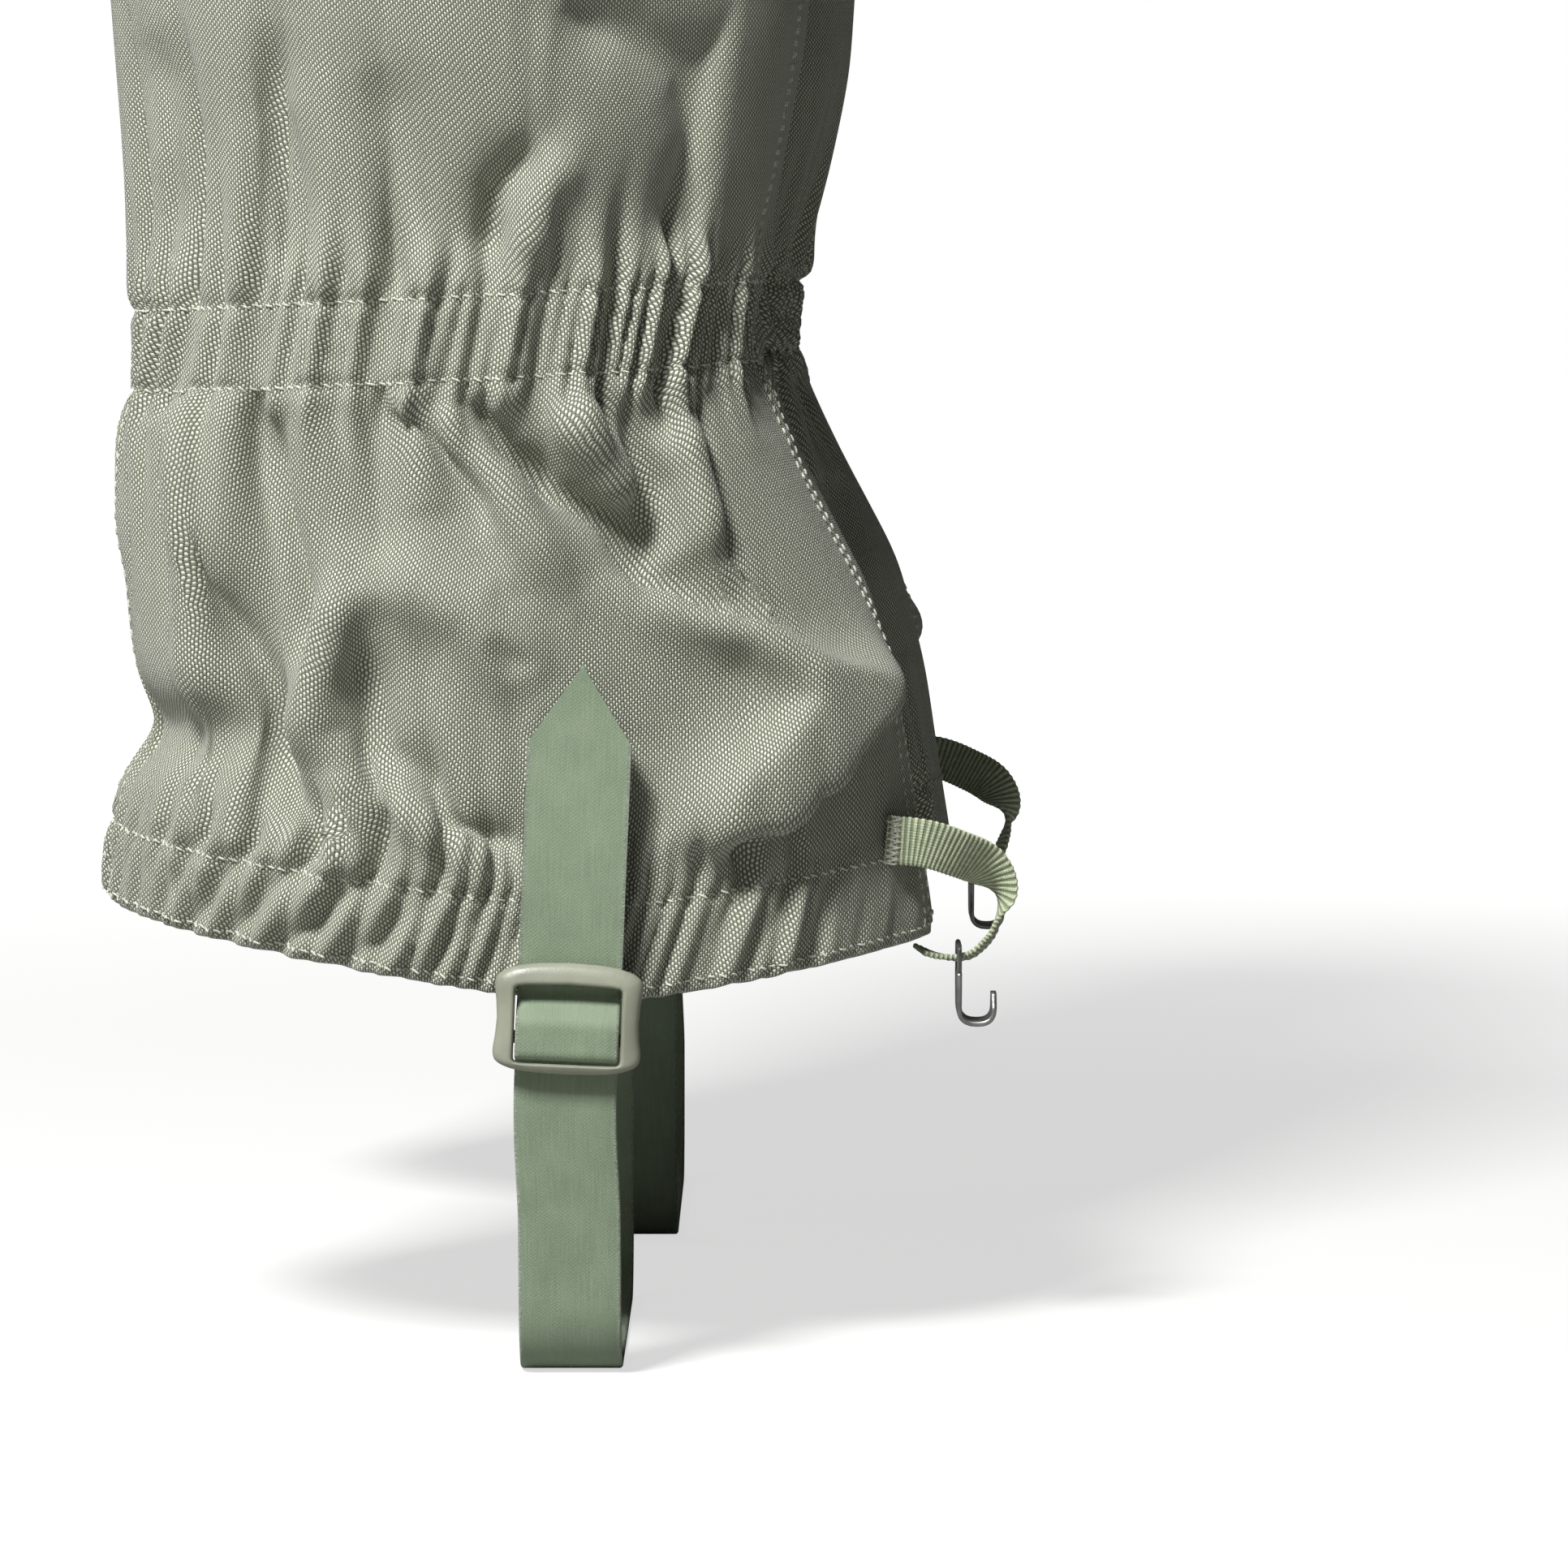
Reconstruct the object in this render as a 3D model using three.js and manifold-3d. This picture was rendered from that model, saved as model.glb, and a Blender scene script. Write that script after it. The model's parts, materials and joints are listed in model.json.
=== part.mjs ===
// A pair of hiking gaiters that cover low boots. Each one is a woven shell in two halves, gathered by
// elastic at the ankle and the hem. It has a front flap on hook-and-loop tape, a coated instep strap with
// a slide buckle, a webbing loop with a lace hook, and a drawcord with a sprung cord lock at the top.
//
// Units are millimetres. +X points to the toes, +Y to the wearer's left and +Z up. The origin is on the
// ground under the middle of the pair. Every shape is written for the right gaiter about its own leg axis,
// where "out" is the distance away from the other leg. The left gaiter is its mirror image.

import * as THREE from 'three';
import Module from 'manifold-3d';
import { mergeVertices } from 'three/addons/utils/BufferGeometryUtils.js';

const wasm = await Module();
wasm.setup();

// The pair
const FEET_APART = 170; // between the two leg axes
const LEFT_LEADS = 8; // the left gaiter stands this far ahead of the right one

// The shell's outline at each height: its back and front along X, half its width, and how much the front is
// drawn in to fit over a foot.
const OUTLINE = [
  { z: 78, back: -66, front: 102, half: 52, nose: 0.16 },
  { z: 96, back: -70, front: 99, half: 53, nose: 0.16 },
  { z: 116, back: -64, front: 95, half: 54.2, nose: 0.14 },
  { z: 138, back: -65, front: 92, half: 54.2, nose: 0.1 },
  { z: 158, back: -65.5, front: 83, half: 53.6, nose: 0.08 },
  { z: 178, back: -64, front: 71, half: 52.4, nose: 0.05 },
  { z: 195, back: -62.3, front: 62.5, half: 50.8, nose: 0.02 },
  { z: 212, back: -62.5, front: 62, half: 51, nose: 0 },
  { z: 240, back: -65, front: 69.5, half: 56, nose: 0 },
  { z: 270, back: -68.5, front: 73.5, half: 60, nose: 0 },
  { z: 340, back: -73, front: 75, half: 63.5, nose: 0 },
  { z: 450, back: -76, front: 74, half: 65, nose: 0 },
];
const TOP = 450; // height of the top edge
const HEM_LOW = 74; // the hem is lowest beside the strap and climbs to the heel and the toes
const HEM_LOW_X = 32;
const HEM_SLOPE = 0.17;
const HEM_ROUND = 12;
const BAND_BOTTOM = 193.5; // the ankle band's two stitch rows, at the leg axis
const BAND_TOP = 209.5;
const BAND_SLOPE = 0.05; // how fast both rows climb forward

// Cloth and tapes
const CLOTH = 1; // thickness of the shell
const GAP = 0.3; // between neighbouring layers
const TAPE = 0.9; // hook tape, loop tape and elastic
const FLAP_LAYERS = CLOTH + 2 * TAPE + 3 * GAP; // the underlap lies this far below the flap's outer face

// Columns run round the shell: the flap from its free edge to its root, the outer panel to the back seam, the
// inner panel to the front, and the underlap that goes on below the flap.
const FREE_EDGE = THREE.MathUtils.degToRad(12);
const FLAP_ROOT_X = 48; // the flap's root lies in this upright plane
const ROOT = 6;
const BACK = 17;
const FRONT = 34;
const LAP = 36;
const LAP_END = 40;
const FRONT_ANGLE = THREE.MathUtils.degToRad(350);
const SEAM = 0.04; // half the gap at a seam, in columns

// Rows run up the shell: 0 is the hem, 1 and 2 the ankle band's edges and 3 the top edge.
const HEM_ROW = 0.15;
const TOP_ROW = 2.93;
const ROWS = [0, HEM_ROW, 0.37, 0.58, 0.79, 1, 1.5, 2, 2.09, 2.2, 2.34, 2.5, 2.7, TOP_ROW, 3];

// The instep strap, its buckle and the tape that holds the buckle, beside the hem
const STRAP_X = 24.5;
const STRAP_WIDTH = 20;
const STRAP = 1.2; // thickness
const STRAP_OUT = 56; // middle of the strap from the leg axis
const STRAP_TIP = 139;
const STRAP_POINT = 15; // length of the pointed tip
const STRAP_LEAN = THREE.MathUtils.degToRad(2.5); // the buckle and the strap's tail lean toward the toes
const SOLE_HALF = 44; // half the flat run under the boot
const BUCKLE_Z = 71;
const BUCKLE_BACK = 57.2; // how far out the buckle's back and front faces are
const BUCKLE_FRONT = 61.2;
const CENTRE_BAR_Z = 67.3;
const HOLD_TAPE_WIDTH = 16;
const PATCH = 30; // side of the square that holds the strap's inner end
const PATCH_THICKNESS = 0.6;
const PATCH_OUT = 54.5; // its face toward the leg
const PATCH_Z = 95;

// The webbing loop at the front and the hook that catches the boot's lace
const WEBBING_WIDTH = 9.5;
const WEBBING = 1; // thickness
const LOOP_ANGLE = THREE.MathUtils.degToRad(32.3); // where its end is sewn to the flap, round from the front
const LOOP_Z = 104;
const LOOP_STEPS = 16;
const HOOK_AT = new THREE.Vector3(101, -7, 77.4);
const HOOK_WIDTH = 13;
const HOOK = 1.1; // thickness
const HOOK_SLOT = 4; // height of the slot that the webbing runs through
const HOOK_LENGTH = 13; // from the slot's middle down to the bend
const HOOK_REACH = 7; // how far forward the bend carries the tip
const HOOK_TIP = 6; // how far the tip turns up again

// The drawcord and its lock
const CORD = 1.2; // radius
const CORD_ANGLE = 63; // where the cord leaves its casing, in degrees round from the front
const CORD_START = 338; // where its other end is sewn into the casing
const CORD_STEP = 13; // degrees between its path's points
const CORD_DEPTH = 4.5; // the cord's middle below the top edge
const LOCK_OUT = 8.5; // the lock's middle from the shell
const LOCK_Z = 416;
const LOCK_RADIUS = 6;
const LOCK_LENGTH = 16;
const LOCK_TURN = THREE.MathUtils.degToRad(18); // between the lock's axis and the X axis
const PLUNGER_RADIUS = 4;
const CORD_HOLE = 10; // the cord crosses the lock this far from its closed end
const PRESS = 3; // travel of the plunger
const CORD_BOTTOM = 362;

const outline = new THREE.CubicInterpolant(
  OUTLINE.map((station) => station.z),
  OUTLINE.flatMap((station) => [station.back, station.front, station.half, station.nose]),
  4,
  new Float32Array(4),
);

function outlineAt(z) {
  const [back, front, half, nose] = outline.evaluate(z);
  return { middle: (back + front) / 2, reach: (front - back) / 2, half, nose };
}

// A point of the outline at a height and an angle round from the front, as (x, out).
function outlinePoint(angle, z) {
  const { middle, reach, half, nose } = outlineAt(z);
  const x = middle + reach * Math.cos(angle);
  return new THREE.Vector2(x, half * Math.sin(angle) * (1 - nose * Math.cos(angle)));
}

function outlineNormal(angle, z) {
  const step = 0.001;
  const along = outlinePoint(angle + step, z).sub(outlinePoint(angle - step, z)).normalize();
  return new THREE.Vector2(along.y, -along.x);
}

function rootAngle(z) {
  const { middle, reach } = outlineAt(z);
  return Math.acos((FLAP_ROOT_X - middle) / reach);
}

function between(value, low, high, atLow, atHigh) {
  return THREE.MathUtils.mapLinear(value, low, high, atLow, atHigh);
}

function columnAngle(column, z) {
  if (column <= ROOT) return between(column, 0, ROOT, FREE_EDGE, rootAngle(z));
  if (column <= BACK) return between(column, ROOT, BACK, rootAngle(z), Math.PI);
  if (column <= FRONT) return between(column, BACK, FRONT, Math.PI, FRONT_ANGLE);
  if (column <= LAP) return between(column, FRONT, LAP, FRONT_ANGLE, 2 * Math.PI + FREE_EDGE);
  return 2 * Math.PI + columnAngle(column - LAP, z);
}

function hemHeight(x) {
  return HEM_LOW + HEM_SLOPE * (Math.hypot(x - HEM_LOW_X, HEM_ROUND) - HEM_ROUND);
}

function rowHeight(row, column) {
  const hemX = outlinePoint(columnAngle(column, HEM_LOW), HEM_LOW).x;
  const bandX = outlinePoint(columnAngle(column, BAND_TOP), BAND_TOP).x;
  const marks = [hemHeight(hemX), BAND_BOTTOM + BAND_SLOPE * bandX, BAND_TOP + BAND_SLOPE * bandX, TOP];
  const below = Math.min(Math.floor(row), marks.length - 2);
  return between(row, below, below + 1, marks[below], marks[below + 1]);
}

// How far the inner panel sinks below the outline to pass under the flap.
function lapDepth(column) {
  return FLAP_LAYERS * THREE.MathUtils.clamp((column - FRONT) / (LAP - FRONT), 0, 1);
}

// Where a whole column meets one of the rows, at a depth below the shell's outer face.
function gridPoint(column, row, depth) {
  const z = rowHeight(row, column);
  const angle = columnAngle(column, z);
  const place = outlinePoint(angle, z).addScaledVector(outlineNormal(angle, z), -depth - lapDepth(column));
  return new THREE.Vector3(place.x, -place.y, z);
}

// Any other point lies on the facets between the grid's points, so that every layer runs parallel to the
// shell.
function shellPoint(column, row, depth) {
  const above = Math.max(1, ROWS.findIndex((mark) => mark >= row));
  const [low, high] = [ROWS[above - 1], ROWS[above]];
  const behind = Math.floor(column);
  const edge = (mark) => gridPoint(behind, mark, depth)
    .lerp(gridPoint(Math.ceil(column), mark, depth), column - behind);
  return edge(low).lerp(edge(high), (row - low) / (high - low));
}

// Every whole column from first to last, with the two ends themselves.
function columnsBetween(first, last) {
  const columns = [first];
  for (let column = Math.floor(first) + 1; column < last; column++) {
    columns.push(column);
  }
  columns.push(last);
  return columns;
}

function rowsBetween(first, last) {
  return [first, ...ROWS.filter((row) => row > first && row < last), last];
}

// Joins two matching grids of points into one closed sheet. The first grid is the face that points away from
// the leg; each grid is a list of rows.
function closedSheet(face, back) {
  const height = face.length;
  const width = face[0].length;
  const id = (side, row, column) => (side * height + row) * width + column;
  const index = [];
  for (let row = 0; row + 1 < height; row++) {
    for (let column = 0; column + 1 < width; column++) {
      const corners = [[row, column], [row + 1, column], [row + 1, column + 1], [row, column + 1]];
      const [a, b, c, d] = corners.map((corner) => id(0, ...corner));
      const [e, f, g, h] = corners.map((corner) => id(1, ...corner));
      index.push(a, b, c, a, c, d, e, g, f, e, h, g);
    }
  }
  const span = (count) => Array.from({ length: count - 1 }, (_, step) => step);
  const rim = [
    ...span(width).map((column) => [0, column]),
    ...span(height).map((row) => [row, width - 1]),
    ...span(width).map((column) => [height - 1, width - 1 - column]),
    ...span(height).map((row) => [height - 1 - row, 0]),
  ];
  rim.forEach((here, place) => {
    const next = rim[(place + 1) % rim.length];
    const [a, b, c, d] = [id(0, ...here), id(0, ...next), id(1, ...next), id(1, ...here)];
    index.push(a, b, c, a, c, d);
  });
  const geometry = new THREE.BufferGeometry().setFromPoints([...face.flat(), ...back.flat()]);
  return geometry.setIndex(index);
}

function shellLayer(columns, rows, depth, thickness) {
  const grid = (inward) => rows.map((row) => columns.map((column) => shellPoint(column, row, inward)));
  return closedSheet(grid(depth), grid(depth + thickness));
}

// A flat band along a path, from its centre points and the direction of its width at each of them.
function ribbon(centres, widthways, width, thickness) {
  const last = centres.length - 1;
  const rings = centres.map((centre, step) => {
    const along = centres[Math.min(step + 1, last)].clone().sub(centres[Math.max(step - 1, 0)]).normalize();
    const across = widthways[step].clone().addScaledVector(along, -widthways[step].dot(along)).normalize();
    const through = along.clone().cross(across);
    return [[-1, -1], [1, -1], [1, 1], [-1, 1]].map(([side, face]) => centre.clone()
      .addScaledVector(across, side * width / 2)
      .addScaledVector(through, face * thickness / 2));
  });
  const index = [0, 2, 1, 0, 3, 2];
  for (let step = 0; step < last; step++) {
    for (let corner = 0; corner < 4; corner++) {
      const [a, b] = [step * 4 + corner, step * 4 + (corner + 1) % 4];
      index.push(a, b, b + 4, a, b + 4, a + 4);
    }
  }
  const end = last * 4;
  index.push(end, end + 1, end + 2, end, end + 2, end + 3);
  return new THREE.BufferGeometry().setFromPoints(rings.flat()).setIndex(index);
}

// A path through corner points, each corner rounded off within its radius.
function roundedPath(corners, radius, divisions) {
  const path = new THREE.CurvePath();
  let from = corners[0];
  for (let place = 1; place + 1 < corners.length; place++) {
    const corner = corners[place];
    const toward = (other) => corner.clone().addScaledVector(other.clone().sub(corner).normalize(), radius);
    const [enter, leave] = [toward(corners[place - 1]), toward(corners[place + 1])];
    path.add(new THREE.LineCurve3(from, enter));
    path.add(new THREE.QuadraticBezierCurve3(enter, corner, leave));
    from = leave;
  }
  path.add(new THREE.LineCurve3(from, corners[corners.length - 1]));
  return path.getPoints(divisions);
}

// A band that keeps its width along X while it bends in the upright plane across the leg. Its corners are
// given as [out, z].
function crossBand(corners, radius, width, thickness) {
  const points = corners.map(([out, z]) => new THREE.Vector3(STRAP_X, -out, z));
  const centres = roundedPath(points, radius, 2);
  return ribbon(centres, centres.map(() => new THREE.Vector3(1, 0, 0)), width, thickness);
}

function tube(points, radius, steps) {
  const circle = new THREE.Shape().absarc(0, 0, radius, 0, 2 * Math.PI);
  const extrudePath = new THREE.CatmullRomCurve3(points);
  return new THREE.ExtrudeGeometry(circle, { steps, curveSegments: 3, extrudePath });
}

// Bare shared-vertex geometry, as a closed solid needs it.
function bare(geometry) {
  const copy = geometry.clone();
  copy.deleteAttribute('normal');
  copy.deleteAttribute('uv');
  return mergeVertices(copy, 1e-4);
}

function toSolid(geometry) {
  const merged = bare(geometry);
  const vertProperties = new Float32Array(merged.attributes.position.array);
  const triVerts = new Uint32Array(merged.index.array);
  return new wasm.Manifold(new wasm.Mesh({ numProp: 3, vertProperties, triVerts }));
}

function toGeometry(solid) {
  const { vertProperties, triVerts } = solid.getMesh();
  const geometry = new THREE.BufferGeometry();
  geometry.setAttribute('position', new THREE.BufferAttribute(vertProperties, 3));
  return geometry.setIndex(new THREE.BufferAttribute(triVerts, 1));
}

// The top of the strap's outer end leans toward the toes about the buckle's middle.
function lean(geometry) {
  const points = geometry.attributes.position;
  const pivot = new THREE.Vector2(STRAP_X, BUCKLE_Z);
  for (let place = 0; place < points.count; place++) {
    const point = new THREE.Vector2(points.getX(place), points.getZ(place));
    const isOuterEnd = points.getY(place) < 0 && point.y > BUCKLE_Z - 12;
    if (isOuterEnd) point.rotateAround(pivot, -STRAP_LEAN);
    points.setX(place, point.x);
    points.setZ(place, point.y);
  }
  return geometry;
}

function instepStrap() {
  const inWindow = 60.6;
  const underBar = 63.9;
  const boot = { half: 50.5, low: 9, high: 58 };
  const corners = [
    [STRAP_OUT, 78.5], [STRAP_OUT, 76], [inWindow, 70.5], [inWindow, underBar], [STRAP_OUT, underBar],
    [STRAP_OUT, boot.high], [boot.half, boot.low], [SOLE_HALF, STRAP / 2],
    [-SOLE_HALF, STRAP / 2], [-boot.half, boot.low], [-STRAP_OUT, boot.high], [-STRAP_OUT, 104],
  ];
  return lean(crossBand(corners, 0.9, STRAP_WIDTH, STRAP));
}

function strapTail() {
  const bottom = 79;
  const half = STRAP_WIDTH / 2;
  const shape = new THREE.Shape([
    new THREE.Vector2(STRAP_X - half, bottom),
    new THREE.Vector2(STRAP_X + half, bottom),
    new THREE.Vector2(STRAP_X + half, STRAP_TIP - STRAP_POINT),
    new THREE.Vector2(STRAP_X, STRAP_TIP),
    new THREE.Vector2(STRAP_X - half, STRAP_TIP - STRAP_POINT),
  ]);
  const geometry = new THREE.ExtrudeGeometry(shape, { depth: STRAP, bevelEnabled: false });
  geometry.rotateX(Math.PI / 2);
  return lean(geometry.translate(0, -STRAP_OUT + STRAP / 2, 0));
}

// A frame with a bowed top and bottom, waisted sides and ear-like corners, and a bar set back across its
// window.
function buckle() {
  const shape = new THREE.Shape();
  shape.moveTo(-12.2, 9.3);
  shape.quadraticCurveTo(0, 12.6, 12.2, 9.3);
  shape.quadraticCurveTo(15, 8.6, 14.1, 5.6);
  shape.quadraticCurveTo(12.4, -0.5, 14.1, -6.2);
  shape.quadraticCurveTo(15, -9, 12.2, -9.4);
  shape.quadraticCurveTo(0, -12.2, -12.2, -9.4);
  shape.quadraticCurveTo(-15, -9, -14.1, -6.2);
  shape.quadraticCurveTo(-12.4, -0.5, -14.1, 5.6);
  shape.quadraticCurveTo(-15, 8.6, -12.2, 9.3);
  const corner = 1.6;
  const window = new THREE.Path();
  const [side, top, bottom] = [10.5, 6.4, -8.5];
  window.absarc(side - corner, top - corner, corner, 0, Math.PI / 2);
  window.absarc(-side + corner, top - corner, corner, Math.PI / 2, Math.PI);
  window.absarc(-side + corner, bottom + corner, corner, Math.PI, 1.5 * Math.PI);
  window.absarc(side - corner, bottom + corner, corner, 1.5 * Math.PI, 2 * Math.PI);
  shape.holes.push(window);
  const setBack = 1; // the top and bottom bars stand forward of the sides, to clear the strap behind them
  const depth = BUCKLE_FRONT - BUCKLE_BACK - setBack;
  const frame = new THREE.ExtrudeGeometry(shape, { depth, bevelEnabled: false, curveSegments: 4 });
  const rail = new THREE.BoxGeometry(1.8, 12, setBack + 1);
  const bar = new THREE.BoxGeometry(2 * side + 1, 2.6, 1.4);
  bar.translate(0, CENTRE_BAR_Z - BUCKLE_Z, 0.7 - setBack);
  let solid = toSolid(frame).add(toSolid(bar));
  for (const sign of [-1, 1]) {
    solid = solid.add(toSolid(rail.clone().translate(sign * (side + 1.2), -0.5, (1 - setBack) / 2)));
  }
  const geometry = toGeometry(solid);
  geometry.rotateX(Math.PI / 2);
  return lean(geometry.translate(STRAP_X, -BUCKLE_BACK - setBack, BUCKLE_Z));
}

// The tape sewn inside the hem comes out under it and wraps round the buckle's bar.
function buckleTape() {
  const corners = [
    [46.6, 90], [46.6, 72], [56.4, 69.4], [59.25, 69.25], [59.25, 65.35], [56.55, 65.35], [56.55, 68],
  ];
  return lean(crossBand(corners, 0.5, HOLD_TAPE_WIDTH, 0.6));
}

function strapPatch() {
  const geometry = new THREE.BoxGeometry(PATCH, PATCH_THICKNESS, PATCH);
  return geometry.translate(STRAP_X, PATCH_OUT + PATCH_THICKNESS / 2, PATCH_Z);
}

// Sewn to the flap at one end, the webbing runs forward, turns down and comes back below the hem.
function laceLoop() {
  const normal = outlineNormal(LOOP_ANGLE, LOOP_Z);
  const sewn = outlinePoint(LOOP_ANGLE, LOOP_Z).addScaledVector(normal, GAP + WEBBING / 2);
  const way = new THREE.CatmullRomCurve3([
    new THREE.Vector3(sewn.x, -sewn.y, LOOP_Z),
    new THREE.Vector3(96, -22.5, LOOP_Z),
    new THREE.Vector3(106, -14, 99),
    new THREE.Vector3(109.5, -9, 90),
    new THREE.Vector3(107, -7, 80.5),
    HOOK_AT,
    new THREE.Vector3(93.5, -8.5, 79),
  ]);
  const centres = way.getPoints(LOOP_STEPS);
  const upright = new THREE.Vector3(0, 0, 1);
  const level = new THREE.Vector3(0, -1, 0);
  const widthways = centres.map((centre, step) => upright.clone().lerp(level, step / LOOP_STEPS));
  return ribbon(centres, widthways, WEBBING_WIDTH, WEBBING);
}

// A flat steel plate with a slot for the webbing and a hooked lower end.
function laceHook() {
  const { x, y, z } = HOOK_AT;
  const topBar = 1.2;
  const bend = 3.4;
  const corners = [
    new THREE.Vector3(x, y, z + HOOK_SLOT / 2 + topBar),
    new THREE.Vector3(x, y, z - HOOK_LENGTH),
    new THREE.Vector3(x + HOOK_REACH, y, z - HOOK_LENGTH),
    new THREE.Vector3(x + HOOK_REACH, y, z - HOOK_LENGTH + HOOK_TIP),
  ];
  const centres = roundedPath(corners, bend, 4);
  const plate = ribbon(centres, centres.map(() => new THREE.Vector3(0, 1, 0)), HOOK_WIDTH, HOOK);
  const slot = new THREE.BoxGeometry(3 * HOOK, WEBBING_WIDTH + 1.4, HOOK_SLOT).translate(x, y, z);
  return toGeometry(toSolid(plate).subtract(toSolid(slot)));
}

// A point at the top casing's level, at an angle round from the front and a distance outside the shell.
function besideTop(degrees, z, distance) {
  const angle = THREE.MathUtils.degToRad(degrees);
  const place = outlinePoint(angle, z).addScaledVector(outlineNormal(angle, z), distance);
  return new THREE.Vector3(place.x, -place.y, z);
}

function drawcord() {
  const cordZ = TOP - CORD_DEPTH;
  const insideCasing = 2.1; // the cord's middle from the shell
  const points = [];
  for (let degrees = CORD_START; degrees > CORD_ANGLE + 10; degrees -= CORD_STEP) {
    points.push(besideTop(degrees, cordZ, insideCasing));
  }
  points.push(besideTop(CORD_ANGLE + 5, cordZ, insideCasing + 0.9));
  points.push(besideTop(CORD_ANGLE, cordZ - 4, LOCK_OUT - 1));
  const hang = besideTop(CORD_ANGLE, LOCK_Z, LOCK_OUT);
  for (const z of [cordZ - 12, LOCK_Z, (LOCK_Z + CORD_BOTTOM) / 2, CORD_BOTTOM]) {
    points.push(new THREE.Vector3(hang.x, hang.y, z));
  }
  return tube(points, CORD, 44);
}

// The lock's axis is level and runs along the shell, its button pointing to the toes.
function placeAtLock(geometry) {
  const hang = besideTop(CORD_ANGLE, LOCK_Z, LOCK_OUT);
  geometry.translate(0, -CORD_HOLE, 0);
  geometry.rotateZ(-Math.PI / 2);
  geometry.rotateZ(LOCK_TURN);
  return geometry.translate(hang.x, hang.y, LOCK_Z);
}

function lathe(profile, segments) {
  const points = profile.map(([radius, height]) => new THREE.Vector2(radius, height));
  return new THREE.LatheGeometry(points, segments);
}

function lockBody() {
  const wall = LOCK_RADIUS - PLUNGER_RADIUS - GAP;
  const floor = 1.5;
  const inner = LOCK_RADIUS - wall;
  const cup = lathe([
    [0, 0], [LOCK_RADIUS, 0], [LOCK_RADIUS, LOCK_LENGTH], [inner, LOCK_LENGTH], [inner, floor], [0, floor],
  ], 16);
  const hole = new THREE.CylinderGeometry(CORD + 0.5, CORD + 0.5, 3 * LOCK_RADIUS, 10);
  hole.rotateX(Math.PI / 2).translate(0, CORD_HOLE, 0);
  return placeAtLock(toGeometry(toSolid(cup).subtract(toSolid(hole))));
}

// At rest the plunger's slot pinches the cord at one end; pressed, the slot lines up with the lock's hole.
function lockPlunger() {
  const bottom = 6.2;
  const length = 14;
  const button = new THREE.CylinderGeometry(PLUNGER_RADIUS, PLUNGER_RADIUS, length, 16);
  button.translate(0, bottom + length / 2, 0);
  const slotLength = PRESS + 2 * (CORD + GAP);
  const slot = new THREE.BoxGeometry(2 * (CORD + GAP), slotLength, 3 * PLUNGER_RADIUS);
  slot.translate(0, CORD_HOLE + PRESS / 2, 0);
  return placeAtLock(toGeometry(toSolid(button).subtract(toSolid(slot))));
}

function lockSpring() {
  const [turns, radius, low, high] = [3, 2.6, 2.1, 5.5];
  const points = [];
  const steps = turns * 8;
  for (let step = 0; step <= steps; step++) {
    const angle = step / 8 * 2 * Math.PI;
    const height = between(step, 0, steps, low, high);
    points.push(new THREE.Vector3(radius * Math.cos(angle), height, radius * Math.sin(angle)));
  }
  return placeAtLock(tube(points, 0.3, steps));
}

function cordEnd() {
  const bore = CORD + GAP;
  const bead = lathe([[0, -5], [2.4, -5], [3, -4], [3, 3], [2.4, 4], [bore, 4], [bore, -1], [0, -1]], 12);
  const hang = besideTop(CORD_ANGLE, LOCK_Z, LOCK_OUT);
  return bead.rotateX(Math.PI / 2).translate(hang.x, hang.y, CORD_BOTTOM - GAP + 1);
}

const FINISHES = {
  cloth: { color: 0x8d917c, roughness: 0.95, metalness: 0 },
  lining: { color: 0x4d5044, roughness: 0.95, metalness: 0 },
  elastic: { color: 0x3c3f37, roughness: 0.9, metalness: 0 },
  strap: { color: 0x7d9377, roughness: 0.6, metalness: 0 },
  webbing: { color: 0x93a17f, roughness: 0.85, metalness: 0 },
  plastic: { color: 0x8b8c80, roughness: 0.45, metalness: 0 },
  steel: { color: 0x8a8c8e, roughness: 0.35, metalness: 1 },
};

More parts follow.
